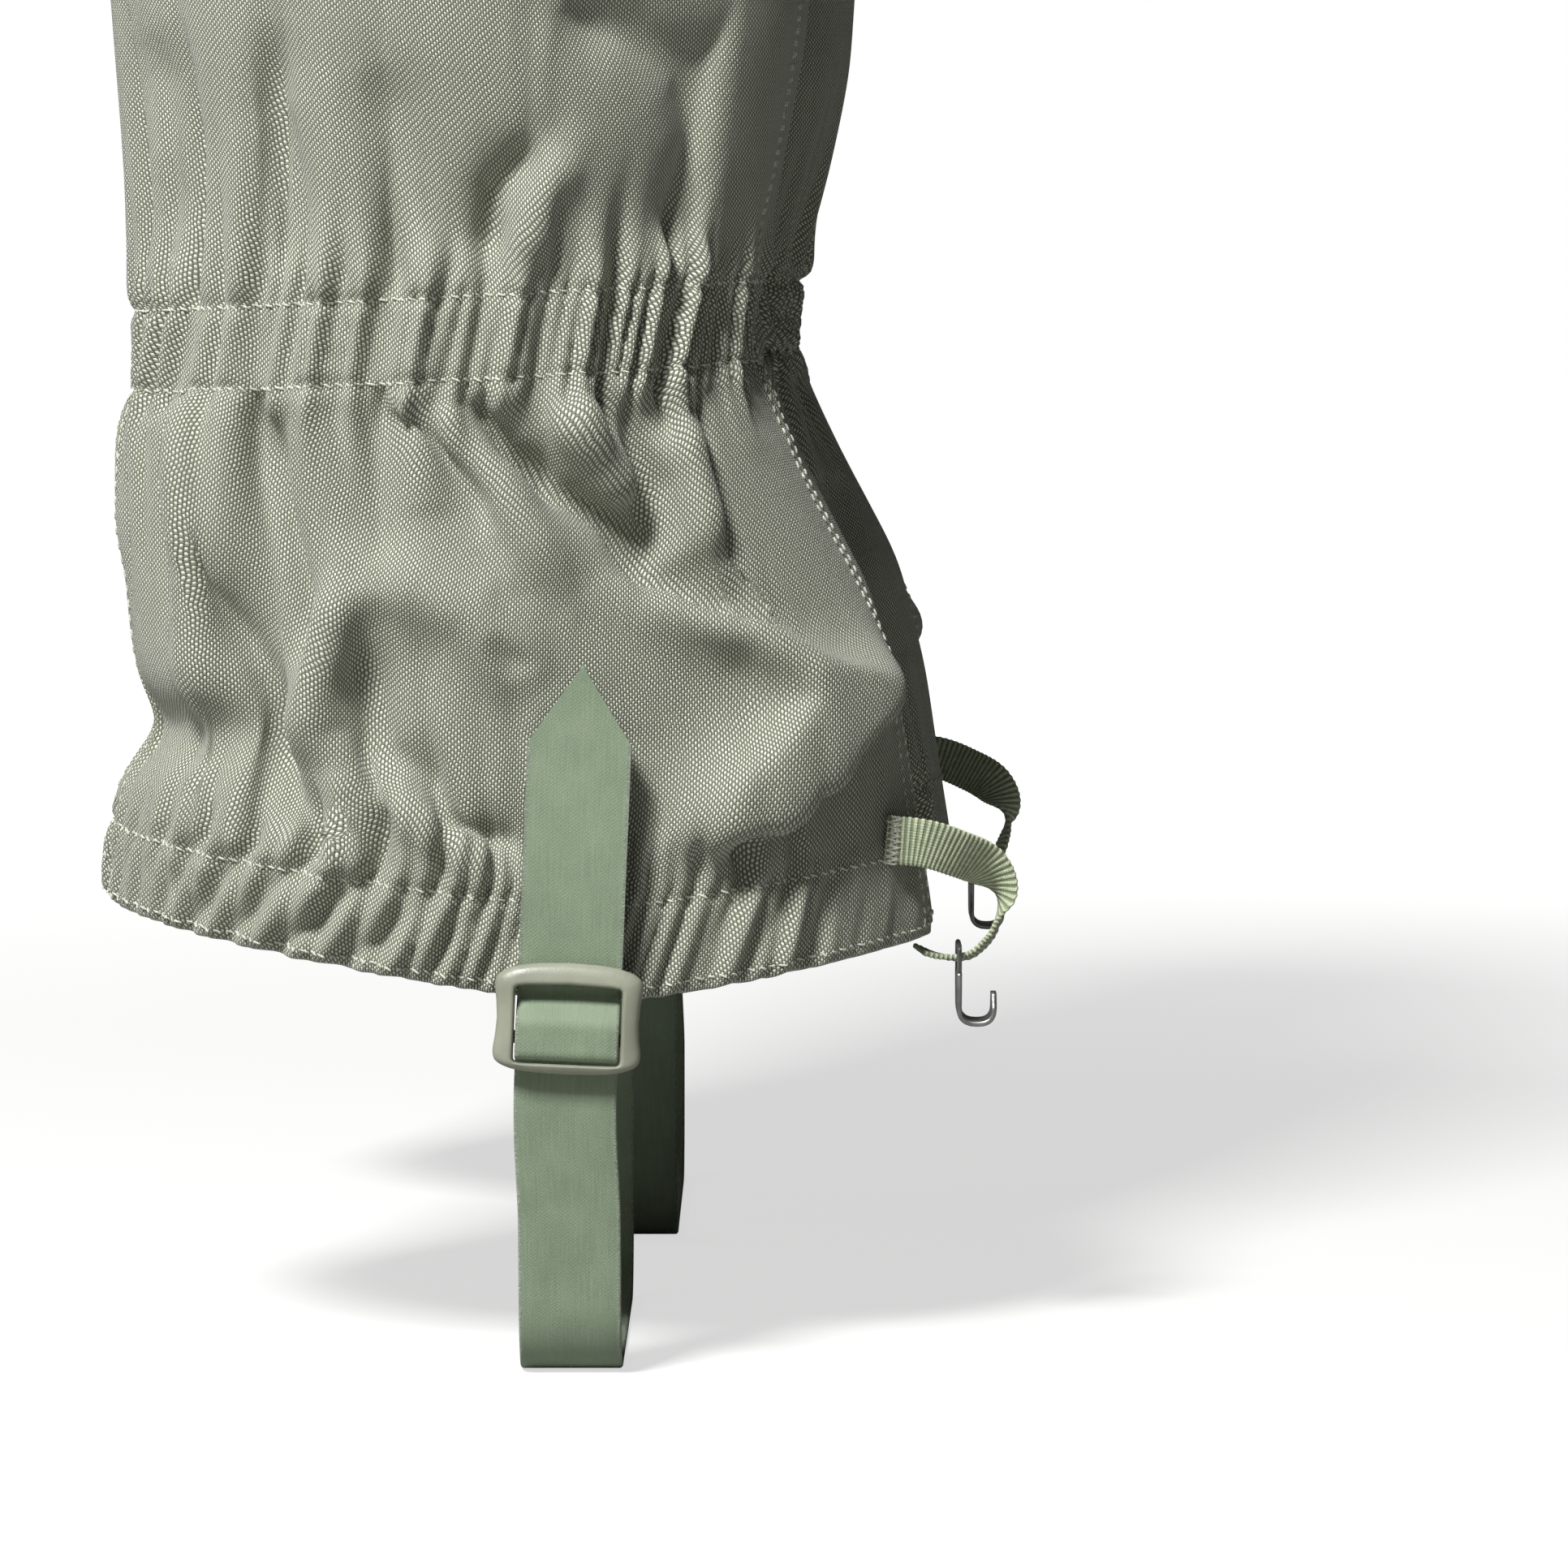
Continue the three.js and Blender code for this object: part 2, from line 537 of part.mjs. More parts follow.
const SUB_PARTS = {
  outer_panel: () => ['cloth', shellLayer(columnsBetween(ROOT + SEAM, BACK - SEAM), ROWS, 0, CLOTH)],
  inner_panel: () => ['cloth', shellLayer(columnsBetween(BACK + SEAM, LAP_END), ROWS, 0, CLOTH)],
  front_flap: () => ['cloth', shellLayer(columnsBetween(0, ROOT - SEAM), ROWS, 0, CLOTH)],
  hook_tape: () => ['lining', shellLayer([0.3, 1, 2, 2.7], rowsBetween(0.03, 2.97), CLOTH + GAP, TAPE)],
  loop_tape: () => ['lining', shellLayer(
    [LAP + 0.3, LAP + 1, LAP + 2, LAP + 2.7], rowsBetween(0.03, 2.97), -GAP - TAPE, TAPE,
  )],
  ankle_elastic: () => ['elastic', shellLayer(
    columnsBetween(ROOT + 0.1, FRONT), [1.08, 1.5, 1.92], CLOTH + GAP, TAPE,
  )],
  ankle_casing: () => ['lining', shellLayer(
    columnsBetween(ROOT + 0.1, FRONT), [1, 1.5, 2], CLOTH + TAPE + 2 * GAP, 0.6,
  )],
  outer_hem_elastic: () => ['elastic', shellLayer(
    columnsBetween(ROOT + 0.1, BACK - 1.5), [0.02, HEM_ROW - 0.02], CLOTH + GAP, TAPE,
  )],
  inner_hem_elastic: () => ['elastic', shellLayer(
    columnsBetween(BACK + 1.5, FRONT), [0.02, HEM_ROW - 0.02], CLOTH + GAP, TAPE,
  )],
  top_casing: () => ['cloth', shellLayer(columnsBetween(ROOT + 2, FRONT), [TOP_ROW, 3], -4.5, 0.6)],
  drawcord: () => ['elastic', drawcord()],
  cord_lock_body: () => ['plastic', lockBody()],
  cord_lock_plunger: () => ['plastic', lockPlunger()],
  cord_lock_spring: () => ['steel', lockSpring()],
  cord_end: () => ['plastic', cordEnd()],
  instep_strap: () => ['strap', instepStrap()],
  strap_tail: () => ['strap', strapTail()],
  strap_patch: () => ['strap', strapPatch()],
  buckle: () => ['plastic', buckle()],
  buckle_tape: () => ['webbing', buckleTape()],
  lace_loop: () => ['webbing', laceLoop()],
  lace_hook: () => ['steel', laceHook()],
};

function mirrored(geometry) {
  geometry.scale(1, -1, 1);
  const index = geometry.index.array;
  for (let place = 0; place < index.length; place += 3) {
    [index[place], index[place + 1]] = [index[place + 1], index[place]];
  }
  return geometry;
}

function gaiter(side, isMirrored) {
  const group = new THREE.Group();
  for (const [name, make] of Object.entries(SUB_PARTS)) {
    const [finish, shape] = make();
    const geometry = isMirrored ? mirrored(bare(shape)) : bare(shape);
    geometry.computeVertexNormals();
    const mesh = new THREE.Mesh(geometry, new THREE.MeshStandardMaterial(FINISHES[finish]));
    mesh.name = `${side}_${name}`;
    group.add(mesh);
  }
  return group;
}

const right = gaiter('right', false);
right.position.set(0, -FEET_APART / 2, 0);
const left = gaiter('left', true);
left.position.set(LEFT_LEADS, FEET_APART / 2, 0);

const pair = new THREE.Group();
pair.add(right, left);
const box = new THREE.Box3().setFromObject(pair);
pair.position.set(-(box.min.x + box.max.x) / 2, -(box.min.y + box.max.y) / 2, -box.min.z);

export default pair;
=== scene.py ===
"""The looks of a pair of hiking gaiters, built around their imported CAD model.

Each gaiter is worked out in its own leg frame: millimetres about the leg axis, with x to the toes, out away
from the other leg and z up. The cloth is one gathered sheet, relaxed by a small position-based cloth solver
and then split at the back seam. Everything else is swept, turned or laid along that sheet.
"""

import json
import math

import bpy
import numpy as np
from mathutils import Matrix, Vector
from mathutils.bvhtree import BVHTree


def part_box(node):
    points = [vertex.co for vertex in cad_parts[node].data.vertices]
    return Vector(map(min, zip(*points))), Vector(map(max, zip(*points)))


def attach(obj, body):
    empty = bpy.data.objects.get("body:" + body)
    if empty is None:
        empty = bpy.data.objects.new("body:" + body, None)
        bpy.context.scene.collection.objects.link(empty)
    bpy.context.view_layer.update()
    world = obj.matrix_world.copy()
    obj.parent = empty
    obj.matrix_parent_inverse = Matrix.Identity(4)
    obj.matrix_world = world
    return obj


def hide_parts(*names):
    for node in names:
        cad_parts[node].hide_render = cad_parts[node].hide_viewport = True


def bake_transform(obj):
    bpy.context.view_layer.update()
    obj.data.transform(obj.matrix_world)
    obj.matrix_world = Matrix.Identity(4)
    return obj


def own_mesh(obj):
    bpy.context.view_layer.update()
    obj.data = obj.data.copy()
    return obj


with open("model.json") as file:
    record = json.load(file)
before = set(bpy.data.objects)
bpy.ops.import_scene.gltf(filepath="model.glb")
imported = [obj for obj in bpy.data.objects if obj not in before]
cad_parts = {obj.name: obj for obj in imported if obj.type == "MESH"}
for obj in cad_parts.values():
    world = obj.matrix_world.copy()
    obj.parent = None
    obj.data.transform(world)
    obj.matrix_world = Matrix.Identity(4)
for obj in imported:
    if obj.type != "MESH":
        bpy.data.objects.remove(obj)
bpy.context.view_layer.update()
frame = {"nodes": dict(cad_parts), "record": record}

MM = 0.001

# The leg frame's fixed places
STRAP_X = 24.5  # the strap's middle
AXIS_X = 10.0  # the upright axis that the shell's form is measured from
HEM_LOW = 74.0  # the hem is lowest beside the strap and climbs to the heel and the toes
HEM_LOW_X = 32.0
HEM_SLOPE = 0.17
HEM_ROUND = 12.0
BAND_BOTTOM = 193.5  # the ankle band's stitch rows at the leg axis
BAND_TOP = 209.5
BAND_SLOPE = 0.05
TOP = 450.0

# The sheet runs from the flap's free edge round the outer side to the back seam, round the inner side to
# the front, and on below the flap.
EDGE_OUT = 10.0  # the free edge stands this far to the outer side
LAP_START = math.radians(348)
LAP_FULL = math.radians(366)
LAP_END = math.radians(393)
LAP_DEPTH = 3.7  # the underlap lies this far below the flap's face
HEM_ROW = 0.15  # rows: 0 is the hem, 1 and 2 the ankle band's edges and 3 the top edge
TOP_ROW = 2.93
ROW_MARKS = (0, HEM_ROW, 1, 2, TOP_ROW, 3)
ROW_CELLS = (3, 19, 3, 40, 3)  # cells between those marks on the coarsest grid
OUTER_CELLS = 46  # cells from the free edge to the back seam on the coarsest grid
INNER_CELLS = 60
FINEST = 4  # the finest grid has this many cells to one of the coarsest
BACK = OUTER_CELLS * FINEST  # column of the back seam on the finest grid
YARN = 0.5  # pitch of the weave


# ---------------------------------------------------------------- frames and meshes


class Leg:
    """The frame of one gaiter, found from the flat face of its strap."""

    def __init__(self, side):
        self.side = side
        self.sign = 1 if side == "left" else -1
        faces = {mount["name"]: mount for mount in frame["record"]["mounts"]}
        x, y, _ = faces[f"{side}_strap_sole_face"]["pos_m"]
        self.x = x / MM - STRAP_X
        self.y = y / MM

    def to_world(self, points):
        x, out, z = np.moveaxis(np.asarray(points, float), -1, 0)
        return np.stack([self.x + x, self.y + self.sign * out, z], -1) * MM

    def from_world(self, point):
        x, y, z = np.asarray(point, float) / MM
        return np.array([x - self.x, self.sign * (y - self.y), z])

    def box(self, node):
        """Lowest and highest corner of a CAD node in this frame."""
        corners = [self.from_world(corner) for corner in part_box(f"{self.side}_{node}")]
        return np.minimum(*corners), np.maximum(*corners)


def make_piece(leg, name, points, faces, material, uv=None):
    """A mesh object from points in the leg frame. Faces are wound to face out in that frame."""
    points = np.asarray(points, float).reshape(-1, 3)
    faces = [list(face) for face in faces]
    if leg.sign < 0:
        faces = [face[::-1] for face in faces]
    mesh = bpy.data.meshes.new(f"{leg.side}_{name}")
    mesh.from_pydata(leg.to_world(points).tolist(), [], faces)
    if uv is not None:
        layer = mesh.uv_layers.new(name="cloth")
        corners = np.concatenate(faces)
        layer.data.foreach_set("uv", np.asarray(uv, np.float32).reshape(-1, 2)[corners].ravel())
    mesh.shade_smooth()
    mesh.materials.append(MATERIALS[material])
    piece = bpy.data.objects.new(mesh.name, mesh)
    bpy.context.scene.collection.objects.link(piece)
    return piece


def grid_faces(height, width, wrap=False):
    ids = np.arange(height * width).reshape(height, width)
    if wrap:
        ids = np.concatenate([ids, ids[:, :1]], axis=1)
    corners = [ids[:-1, :-1], ids[:-1, 1:], ids[1:, 1:], ids[1:, :-1]]
    return np.stack(corners, -1).reshape(-1, 4).tolist()


def slab(face, back):
    """Points and faces of a closed sheet between two grids. The first one faces out."""
    height, width = face.shape[:2]
    count = height * width
    front = grid_faces(height, width)
    rear = [[corner + count for corner in quad[::-1]] for quad in front]
    ids = np.arange(count).reshape(height, width)
    rim = np.concatenate([ids[0, :-1], ids[:-1, -1], ids[-1, :0:-1], ids[:0:-1, 0]])
    ahead = np.roll(rim, -1)
    sides = [[b, a, a + count, b + count] for a, b in zip(rim.tolist(), ahead.tolist())]
    points = np.concatenate([face.reshape(-1, 3), back.reshape(-1, 3)])
    return points, front + rear + sides


def unit(vectors):
    return vectors / np.maximum(np.linalg.norm(vectors, axis=-1, keepdims=True), 1e-9)


def running_length(grid, axis=0):
    """The length from the start along a path, or along each line of a grid."""
    steps = np.linalg.norm(np.diff(grid, axis=axis), axis=-1)
    return np.insert(np.cumsum(steps, axis=axis), 0, 0, axis=axis)


def at_lengths(wanted, length, path):
    """Points of a path at the wanted lengths along it."""
    return np.stack([np.interp(wanted, length, column) for column in path.T], -1)


def circle(count):
    """Points round a unit circle."""
    angle = np.linspace(0, 2 * math.pi, count, endpoint=False)
    return np.stack([np.cos(angle), np.sin(angle)], -1)


def squared(wave, power):
    """A sine or cosine with its size raised to a power, which turns a circle into a rounded square."""
    return np.sign(wave) * np.abs(wave) ** power


def spline(corners, step):
    """A smooth path through corner points, with about one point per step of its length."""
    corners = np.asarray(corners, float)
    ends = np.concatenate([[2 * corners[0] - corners[1]], corners, [2 * corners[-1] - corners[-2]]])
    path = []
    for a, b, c, d in zip(ends, ends[1:], ends[2:], ends[3:]):
        count = max(2, round(np.linalg.norm(c - b) / step))
        for share in np.arange(count) / count:
            swing = (c - a, 2 * a - 5 * b + 4 * c - d, 3 * b - a - 3 * c + d)
            path.append(b + 0.5 * (swing[0] * share + swing[1] * share**2 + swing[2] * share**3))
    path.append(corners[-1])
    return np.array(path)


def rounded(corners, radius, step):
    """A path of straight runs joined by round corners."""
    corners = [np.asarray(corner, float) for corner in corners]
    path = [corners[0]]
    for before, corner, after in zip(corners, corners[1:], corners[2:]):
        reach = min(radius, np.linalg.norm(before - corner) / 2, np.linalg.norm(after - corner) / 2)
        enter = corner + unit(before - corner) * reach
        leave = corner + unit(after - corner) * reach
        for share in np.linspace(0, 1, 7):
            path.append((1 - share) ** 2 * enter + 2 * share * (1 - share) * corner + share**2 * leave)
    path.append(corners[-1])
    path = np.array(path)
    length = running_length(path)
    even = np.linspace(0, length[-1], max(3, round(length[-1] / step)) + 1)
    return at_lengths(even, length, path)


def band_section(width, thickness, cells=6):
    """A flat band's outline with round edges, as (across, through)."""
    edge = thickness / 2
    run = np.linspace(-width / 2 + edge, width / 2 - edge, cells + 1)
    turn = np.radians([-60, -20, 20, 60])
    right = [(width / 2 - edge + edge * math.cos(angle), edge * math.sin(angle)) for angle in turn]
    top = [(across, edge) for across in run[::-1]]
    left = [(-across, -through) for across, through in right]
    bottom = [(across, -edge) for across in run]
    return np.array(right + top + left + bottom)


def sweep(centres, across, section, caps=True):
    """Carries a closed section along a path. The section's first axis follows across."""
    centres = np.asarray(centres, float)
    along = unit(np.gradient(centres, axis=0))
    across = np.broadcast_to(np.asarray(across, float), centres.shape)
    across = unit(across - (across * along).sum(-1, keepdims=True) * along)
    through = np.cross(along, across)
    section = np.broadcast_to(section, (len(centres),) + np.shape(section)[-2:])
    points = centres[:, None] + section[..., :1] * across[:, None] + section[..., 1:] * through[:, None]
    height, width = points.shape[:2]
    faces = grid_faces(height, width, wrap=True)
    if caps:
        faces.append(list(range(width))[::-1])
        faces.append(list(range((height - 1) * width, height * width)))
    return points.reshape(-1, 3), faces


def tube(centres, radius, sides=10):
    """A round tube along a path, its sides set off from any direction that the path never follows."""
    return sweep(centres, (0.31, 0.42, 0.85), radius * circle(sides))


def lathe(profile, sides=40):
    """Turns a profile of (radius, height) points, which starts and ends on the axis, about +z."""
    profile = np.asarray(profile, float)
    ring = np.pad(circle(sides), ((0, 0), (0, 1)))
    inner = profile[1:-1]
    points = (inner[:, None, :1] * ring + inner[:, None, 1:] * (0, 0, 1.0)).reshape(-1, 3)
    low, high = len(points), len(points) + 1
    poles = [(0, 0, profile[0, 1]), (0, 0, profile[-1, 1])]
    faces = grid_faces(len(inner), sides, wrap=True)
    last = (len(inner) - 1) * sides
    for side in range(sides):
        ahead = (side + 1) % sides
        faces.append([low, ahead, side])
        faces.append([high, last + side, last + ahead])
    return np.concatenate([points, poles]), faces


def joined(shapes):
    """Several shapes, each as points and faces, as one."""
    points, faces = [], []
    for more_points, more_faces in shapes:
        faces += [[corner + len(points) for corner in face] for face in more_faces]
        points += list(more_points)
    return np.array(points), faces


def stand_for(piece, leg, node, body="gaiter"):
    """The piece takes the place of a CAD node and moves with a body."""
    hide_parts(f"{leg.side}_{node}")
    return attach(piece, f"{leg.side}_{body}")


# ---------------------------------------------------------------- the cloth's form


def smoothstep(value, low, high):
    share = np.clip((np.asarray(value, float) - low) / (high - low), 0, 1)
    return share * share * (3 - 2 * share)


def window(value, rise, fall):
    """Rises from 0 to 1 over the first span and falls back to 0 over the second."""
    return smoothstep(value, *rise) * (1 - smoothstep(value, *fall))


def bell(value, middle, width):
    return np.exp(-(((value - middle) / width) ** 2))


def mixed(share, a, b):
    return a * (1 - share) + b * share


class Form:
    """The smooth outer form of one CAD shell: its distance from the upright axis by angle and height."""

    ANGLES = 360
    LOW, HIGH, STEP = 70.0, 454.0, 2.0

    def __init__(self, leg):
        points, faces = [], []
        for node in ("outer_panel", "inner_panel", "front_flap"):
            mesh = frame["nodes"][f"{leg.side}_{node}"].data
            first = len(points)
            points += [leg.from_world(vertex.co) for vertex in mesh.vertices]
            faces += [[first + corner for corner in face.vertices] for face in mesh.polygons]
        shell = BVHTree.FromPolygons([tuple(point) for point in points], faces)
        heights = np.arange(self.LOW, self.HIGH, self.STEP)
        angles = np.radians(np.arange(0, 360, 5))
        far = 200.0
        beside_seam = 0.8  # the rays miss the narrow gap at the back seam
        found = np.full((len(heights), len(angles)), np.nan)
        for row, z in enumerate(heights):
            for column, angle in enumerate(angles):
                way = Vector((math.cos(angle), math.sin(angle), 0))
                hit = shell.ray_cast(Vector((AXIS_X, beside_seam, z)) + way * far, -way, far)
                if hit[0] is not None:
                    found[row, column] = far - hit[3]
        for column in found.T:
            seen = ~np.isnan(column)
            column[~seen] = np.interp(heights[~seen], heights[seen], column[seen])
        waves = np.fft.rfft(found, axis=1)
        waves *= np.exp(-((np.arange(waves.shape[1]) / 13.0) ** 2))
        fine = np.fft.irfft(waves, self.ANGLES, axis=1) * self.ANGLES / len(angles)
        kernel = np.exp(-((np.arange(-6, 7) / 3.0) ** 2))
        padded = np.pad(fine, ((6, 6), (0, 0)), mode="reflect", reflect_type="odd")
        fine = sum(k * padded[i : i + len(heights)] for i, k in enumerate(kernel / kernel.sum()))
        self.table = np.concatenate([fine, fine[:, :1]], axis=1)

    def radius(self, angle, z):
        turn = np.mod(angle, 2 * math.pi) / (2 * math.pi) * self.ANGLES
        rise = np.clip((z - self.LOW) / self.STEP, 0, len(self.table) - 1.001)
        column, row = turn.astype(int), rise.astype(int)
        right, up = turn - column, rise - row
        low = mixed(right, self.table[row, column], self.table[row, column + 1])
        high = mixed(right, self.table[row + 1, column], self.table[row + 1, column + 1])
        return mixed(up, low, high)

    def point(self, angle, z, depth=0.0):
        reach = self.radius(angle, z) - depth
        return np.stack([AXIS_X + reach * np.cos(angle), reach * np.sin(angle), z + 0 * reach], -1)


def row_height(row, angle, form):
    """Height of a row at an angle. The hem and the ankle band climb as they do on the CAD shell."""
    hem_x = AXIS_X + form.radius(angle, np.full_like(angle, HEM_LOW + 4)) * np.cos(angle)
    band_x = AXIS_X + form.radius(angle, np.full_like(angle, BAND_TOP)) * np.cos(angle)
    hem = HEM_LOW + HEM_SLOPE * (np.hypot(hem_x - HEM_LOW_X, HEM_ROUND) - HEM_ROUND)
    marks = [hem, BAND_BOTTOM + BAND_SLOPE * band_x, BAND_TOP + BAND_SLOPE * band_x, TOP + 0 * angle]
    below = min(int(row), 2)
    return marks[below] + (row - below) * (marks[below + 1] - marks[below])


def row_values(fineness):
    cells = [np.linspace(low, high, count * fineness, endpoint=False)
             for low, high, count in zip(ROW_MARKS, ROW_MARKS[1:], ROW_CELLS)]
    return np.concatenate(cells + [[ROW_MARKS[-1]]])


def mark_row(mark):
    """Index of the finest grid's row that lies on one of the row marks."""
    return sum(ROW_CELLS[: ROW_MARKS.index(mark)]) * FINEST


def flat_grid(form, fineness):
    """Angles and heights of the sheet's grid before it is gathered, each row evenly spaced along the form."""
    rows = row_values(fineness)
    outer, inner = OUTER_CELLS * fineness, INNER_CELLS * fineness
    angles = np.zeros((len(rows), outer + inner + 1))
    heights = np.zeros_like(angles)
    for place, row in enumerate(rows):
        reach = form.radius(np.zeros(1), row_height(row, np.zeros(1), form))
        edge = math.atan2(EDGE_OUT, reach[0])
        for first, last, start, end in ((0, outer, edge, math.pi), (outer, outer + inner, math.pi, LAP_END)):
            sample = np.linspace(start, end, 240)
            z = row_height(row, sample, form)
            length = running_length(form.point(sample, z))
            even = np.linspace(0, length[-1], last - first + 1)
            angles[place, first : last + 1] = np.interp(even, length, sample)
            heights[place, first : last + 1] = np.interp(even, length, z)
    return rows, angles, heights


def lap_depth(angle):
    return LAP_DEPTH * smoothstep(angle, LAP_START, LAP_FULL)


def on_outer_side(angles):
    """1 on the outer side and 0 on the inner side."""
    return smoothstep(np.sin(angles), 0.05, 0.35)


def behind_leg(angles, start):
    """1 at the back seam and 0 where the cosine is below start."""
    return smoothstep(-np.cos(angles), start, 0.95)


def on_flap(angles):
    """1 on the front flap and 0 beyond its root."""
    return 1 - smoothstep(angles, 0.62, 0.8)


def over_tape(angles):
    """1 where the hook tape stiffens the flap and 0 beyond it."""
    return 1 - smoothstep(angles, 0.42, 0.62)


# ---------------------------------------------------------------- the cloth's folds

# Folds that are set on the outer side, as (height, half width, path of (x, z)). A ridge has a height above 0
# and a valley one below 0.
FOLDS = (
    (-6.9, 4.7, ((-45, 156), (-37, 138), (-29, 113), (-24, 99))),
    (5.2, 6.0, ((-50, 190), (-48, 160), (-50, 120))),
    (6.2, 5.1, ((-15, 157), (-22, 138), (-25, 120))),
    (-6.2, 3.8, ((-35, 191), (-32, 172), (-27, 152), (-25, 138))),
    (5.2, 6.8, ((-15, 158), (6, 149), (20, 134))),
    (-4.8, 6.0, ((-14, 143), (-8, 124), (7, 112))),
    (-5.2, 3.4, ((-12, 191), (0, 177), (8, 163))),
    (5.2, 5.1, ((-4, 190), (10, 170), (24, 150))),
    (-9.4, 3.6, ((4, 191), (12, 180), (22, 172), (33, 166), (38, 157))),
    (6.9, 4.2, ((19, 189), (31, 180), (38, 170))),
    (-8.6, 5.1, ((33, 190), (39, 174), (39, 159), (48, 153), (66, 147))),
    (6.2, 5.1, ((44, 186), (51, 168), (54, 161))),
    (-5.9, 3.4, ((49, 191), (55, 172), (58, 160))),
    (9.4, 6.8, ((38, 153), (58, 145), (70, 134), (67, 121), (55, 106))),
    (-6.0, 3.8, ((0, 110), (8, 107), (15, 104))),
    (4.1, 4.2, ((-14, 116), (2, 104), (10, 97))),
    (-5.9, 6.8, ((24, 264), (38, 260), (50, 253), (52, 240))),
    (-5.2, 4.2, ((19, 240), (10, 229), (7, 214))),
    (4.1, 4.2, ((26, 238), (20, 228), (16, 214))),
    (-4.5, 6.0, ((59, 254), (50, 235), (41, 216))),
    (-3.8, 6.8, ((-59, 262), (-52, 238), (-53, 214))),
    (-3.4, 5.1, ((-30, 262), (-33, 246), (-27, 228), (-25, 213))),
    (-3.1, 6.0, ((-12, 254), (-4, 233), (2, 214))),
)
OVERHANG = ((100, 134), (90, 128), (77, 121), (63, 110), (50, 98))  # the big front fold's lower edge
OVERHANG_HEIGHT = 11.0
OVERHANG_WIDTH = 8.0
OVERHANG_TOP = 168  # the overhang's bulge has no pleats up to this height
FRONT_FULL = {"right": 0.0, "left": 5.0}  # how much fuller each one's front hangs above the ankle band
FRONT_FULL_FROM = (212, 262)  # heights over which that fullness comes and goes
FRONT_FULL_TO = (390, 435)
LOOSE_FOLDS = 46
LOOSE_FROM = (262, 290)  # heights over which random folds take over from the set ones
HEEL_CREASE = (6, 125, 8)  # depth, height and half width of the crease above the heel
BAND_HOLD = (201, 17)  # height and half width of the zone that the ankle band holds in


def along_path(x, z, path):
    """Distance to a path in the side view, signed by the side, and the share of the path's length."""
    best = np.full(x.shape, 1e9)
    signed, share = np.zeros(x.shape), np.zeros(x.shape)
    length = [math.dist(a, b) for a, b in zip(path, path[1:])]
    for index, (a, b) in enumerate(zip(path, path[1:])):
        way = np.subtract(b, a)
        t = np.clip(((x - a[0]) * way[0] + (z - a[1]) * way[1]) / (way @ way), 0, 1)
        away_x, away_z = x - a[0] - t * way[0], z - a[1] - t * way[1]
        distance = np.hypot(away_x, away_z)
        nearer = distance < best
        best = np.where(nearer, distance, best)
        signed = np.where(nearer, np.sign(way[0] * away_z - way[1] * away_x) * distance, signed)
        share = np.where(nearer, (sum(length[:index]) + t * length[index]) / sum(length), share)
    return signed, share


def set_folds(x, z):
    """Height of the set folds above the form, in the side view of the outer side."""
    height = np.zeros(x.shape)
    for rise, width, path in FOLDS:
        distance, share = along_path(x, z, path)
        taper = window(share, (-0.12, 0.25), (0.7, 1.12))
        sharpness = 2 if rise > 0 else 1.4
        height += rise * taper * np.exp(-(np.abs(distance / width) ** sharpness))
    distance, share = along_path(x, z, OVERHANG)
    reach = -distance / OVERHANG_WIDTH
    height += OVERHANG_HEIGHT * reach * np.exp(0.5 - reach**2 / 2) * (1 - smoothstep(share, 0.75, 1.1))
    return height


def loose_folds(rng, around, rows):
    """Broad random folds that spread from the ankle band, for the sides that no fold is set on."""
    folds = np.zeros(rows.shape)
    for _ in range(LOOSE_FOLDS):
        start = rng.uniform(0, around.max())
        upward = rng.random() < 0.45
        low, high = (2.0, 2.0 + rng.uniform(0.15, 0.6)) if upward else (1.0 - rng.uniform(0.3, 0.8), 1.0)
        lean = rng.uniform(-22, 22)
        width = rng.uniform(4, 9)
        rise = rng.choice([-1, 1]) * rng.uniform(1.2, 3.2)
        share = (rows - low) / (high - low)
        distance = around - start - lean * (share - 0.5)
        fade = window(share, (-0.15, 0.3), (0.75, 1.15))
        folds += rise * fade * bell(distance, 0, width)
    return folds


PLEATS = (  # wavelength, height, and how far they reach from the gathered band
    (19.0, 2.6, 38.0),
    (9.4, 2.4, 18.0),
    (4.7, 1.6, 8.0),
)
FULLNESS = (  # how much wider than the form the cloth is at these rows
    (0.15, 1.0), (0.3, 1.14), (0.6, 1.16), (0.85, 1.14), (1, 1.0),
    (2, 1.0), (2.1, 1.07), (2.3, 1.06), (2.85, 1.03), (2.93, 1.0),
)
SMALLEST_PLEAT = 5  # pleats wider than this are weaker on the band itself
GATHERED = ((0.0, HEM_ROW, 1.15), (1.0, 2.0, 1.0), (TOP_ROW, 3.0, 0.6))  # gathered bands and their strength


def wander(rng, around, step, size):
    """A smooth random value along a row, about one new value per step."""
    places = np.arange(around.min() - step, around.max() + 2 * step, step)
    values = rng.normal(0, size, len(places))
    return np.interp(around, places, np.convolve(values, (0.25, 0.5, 0.25), "same") * 1.6)


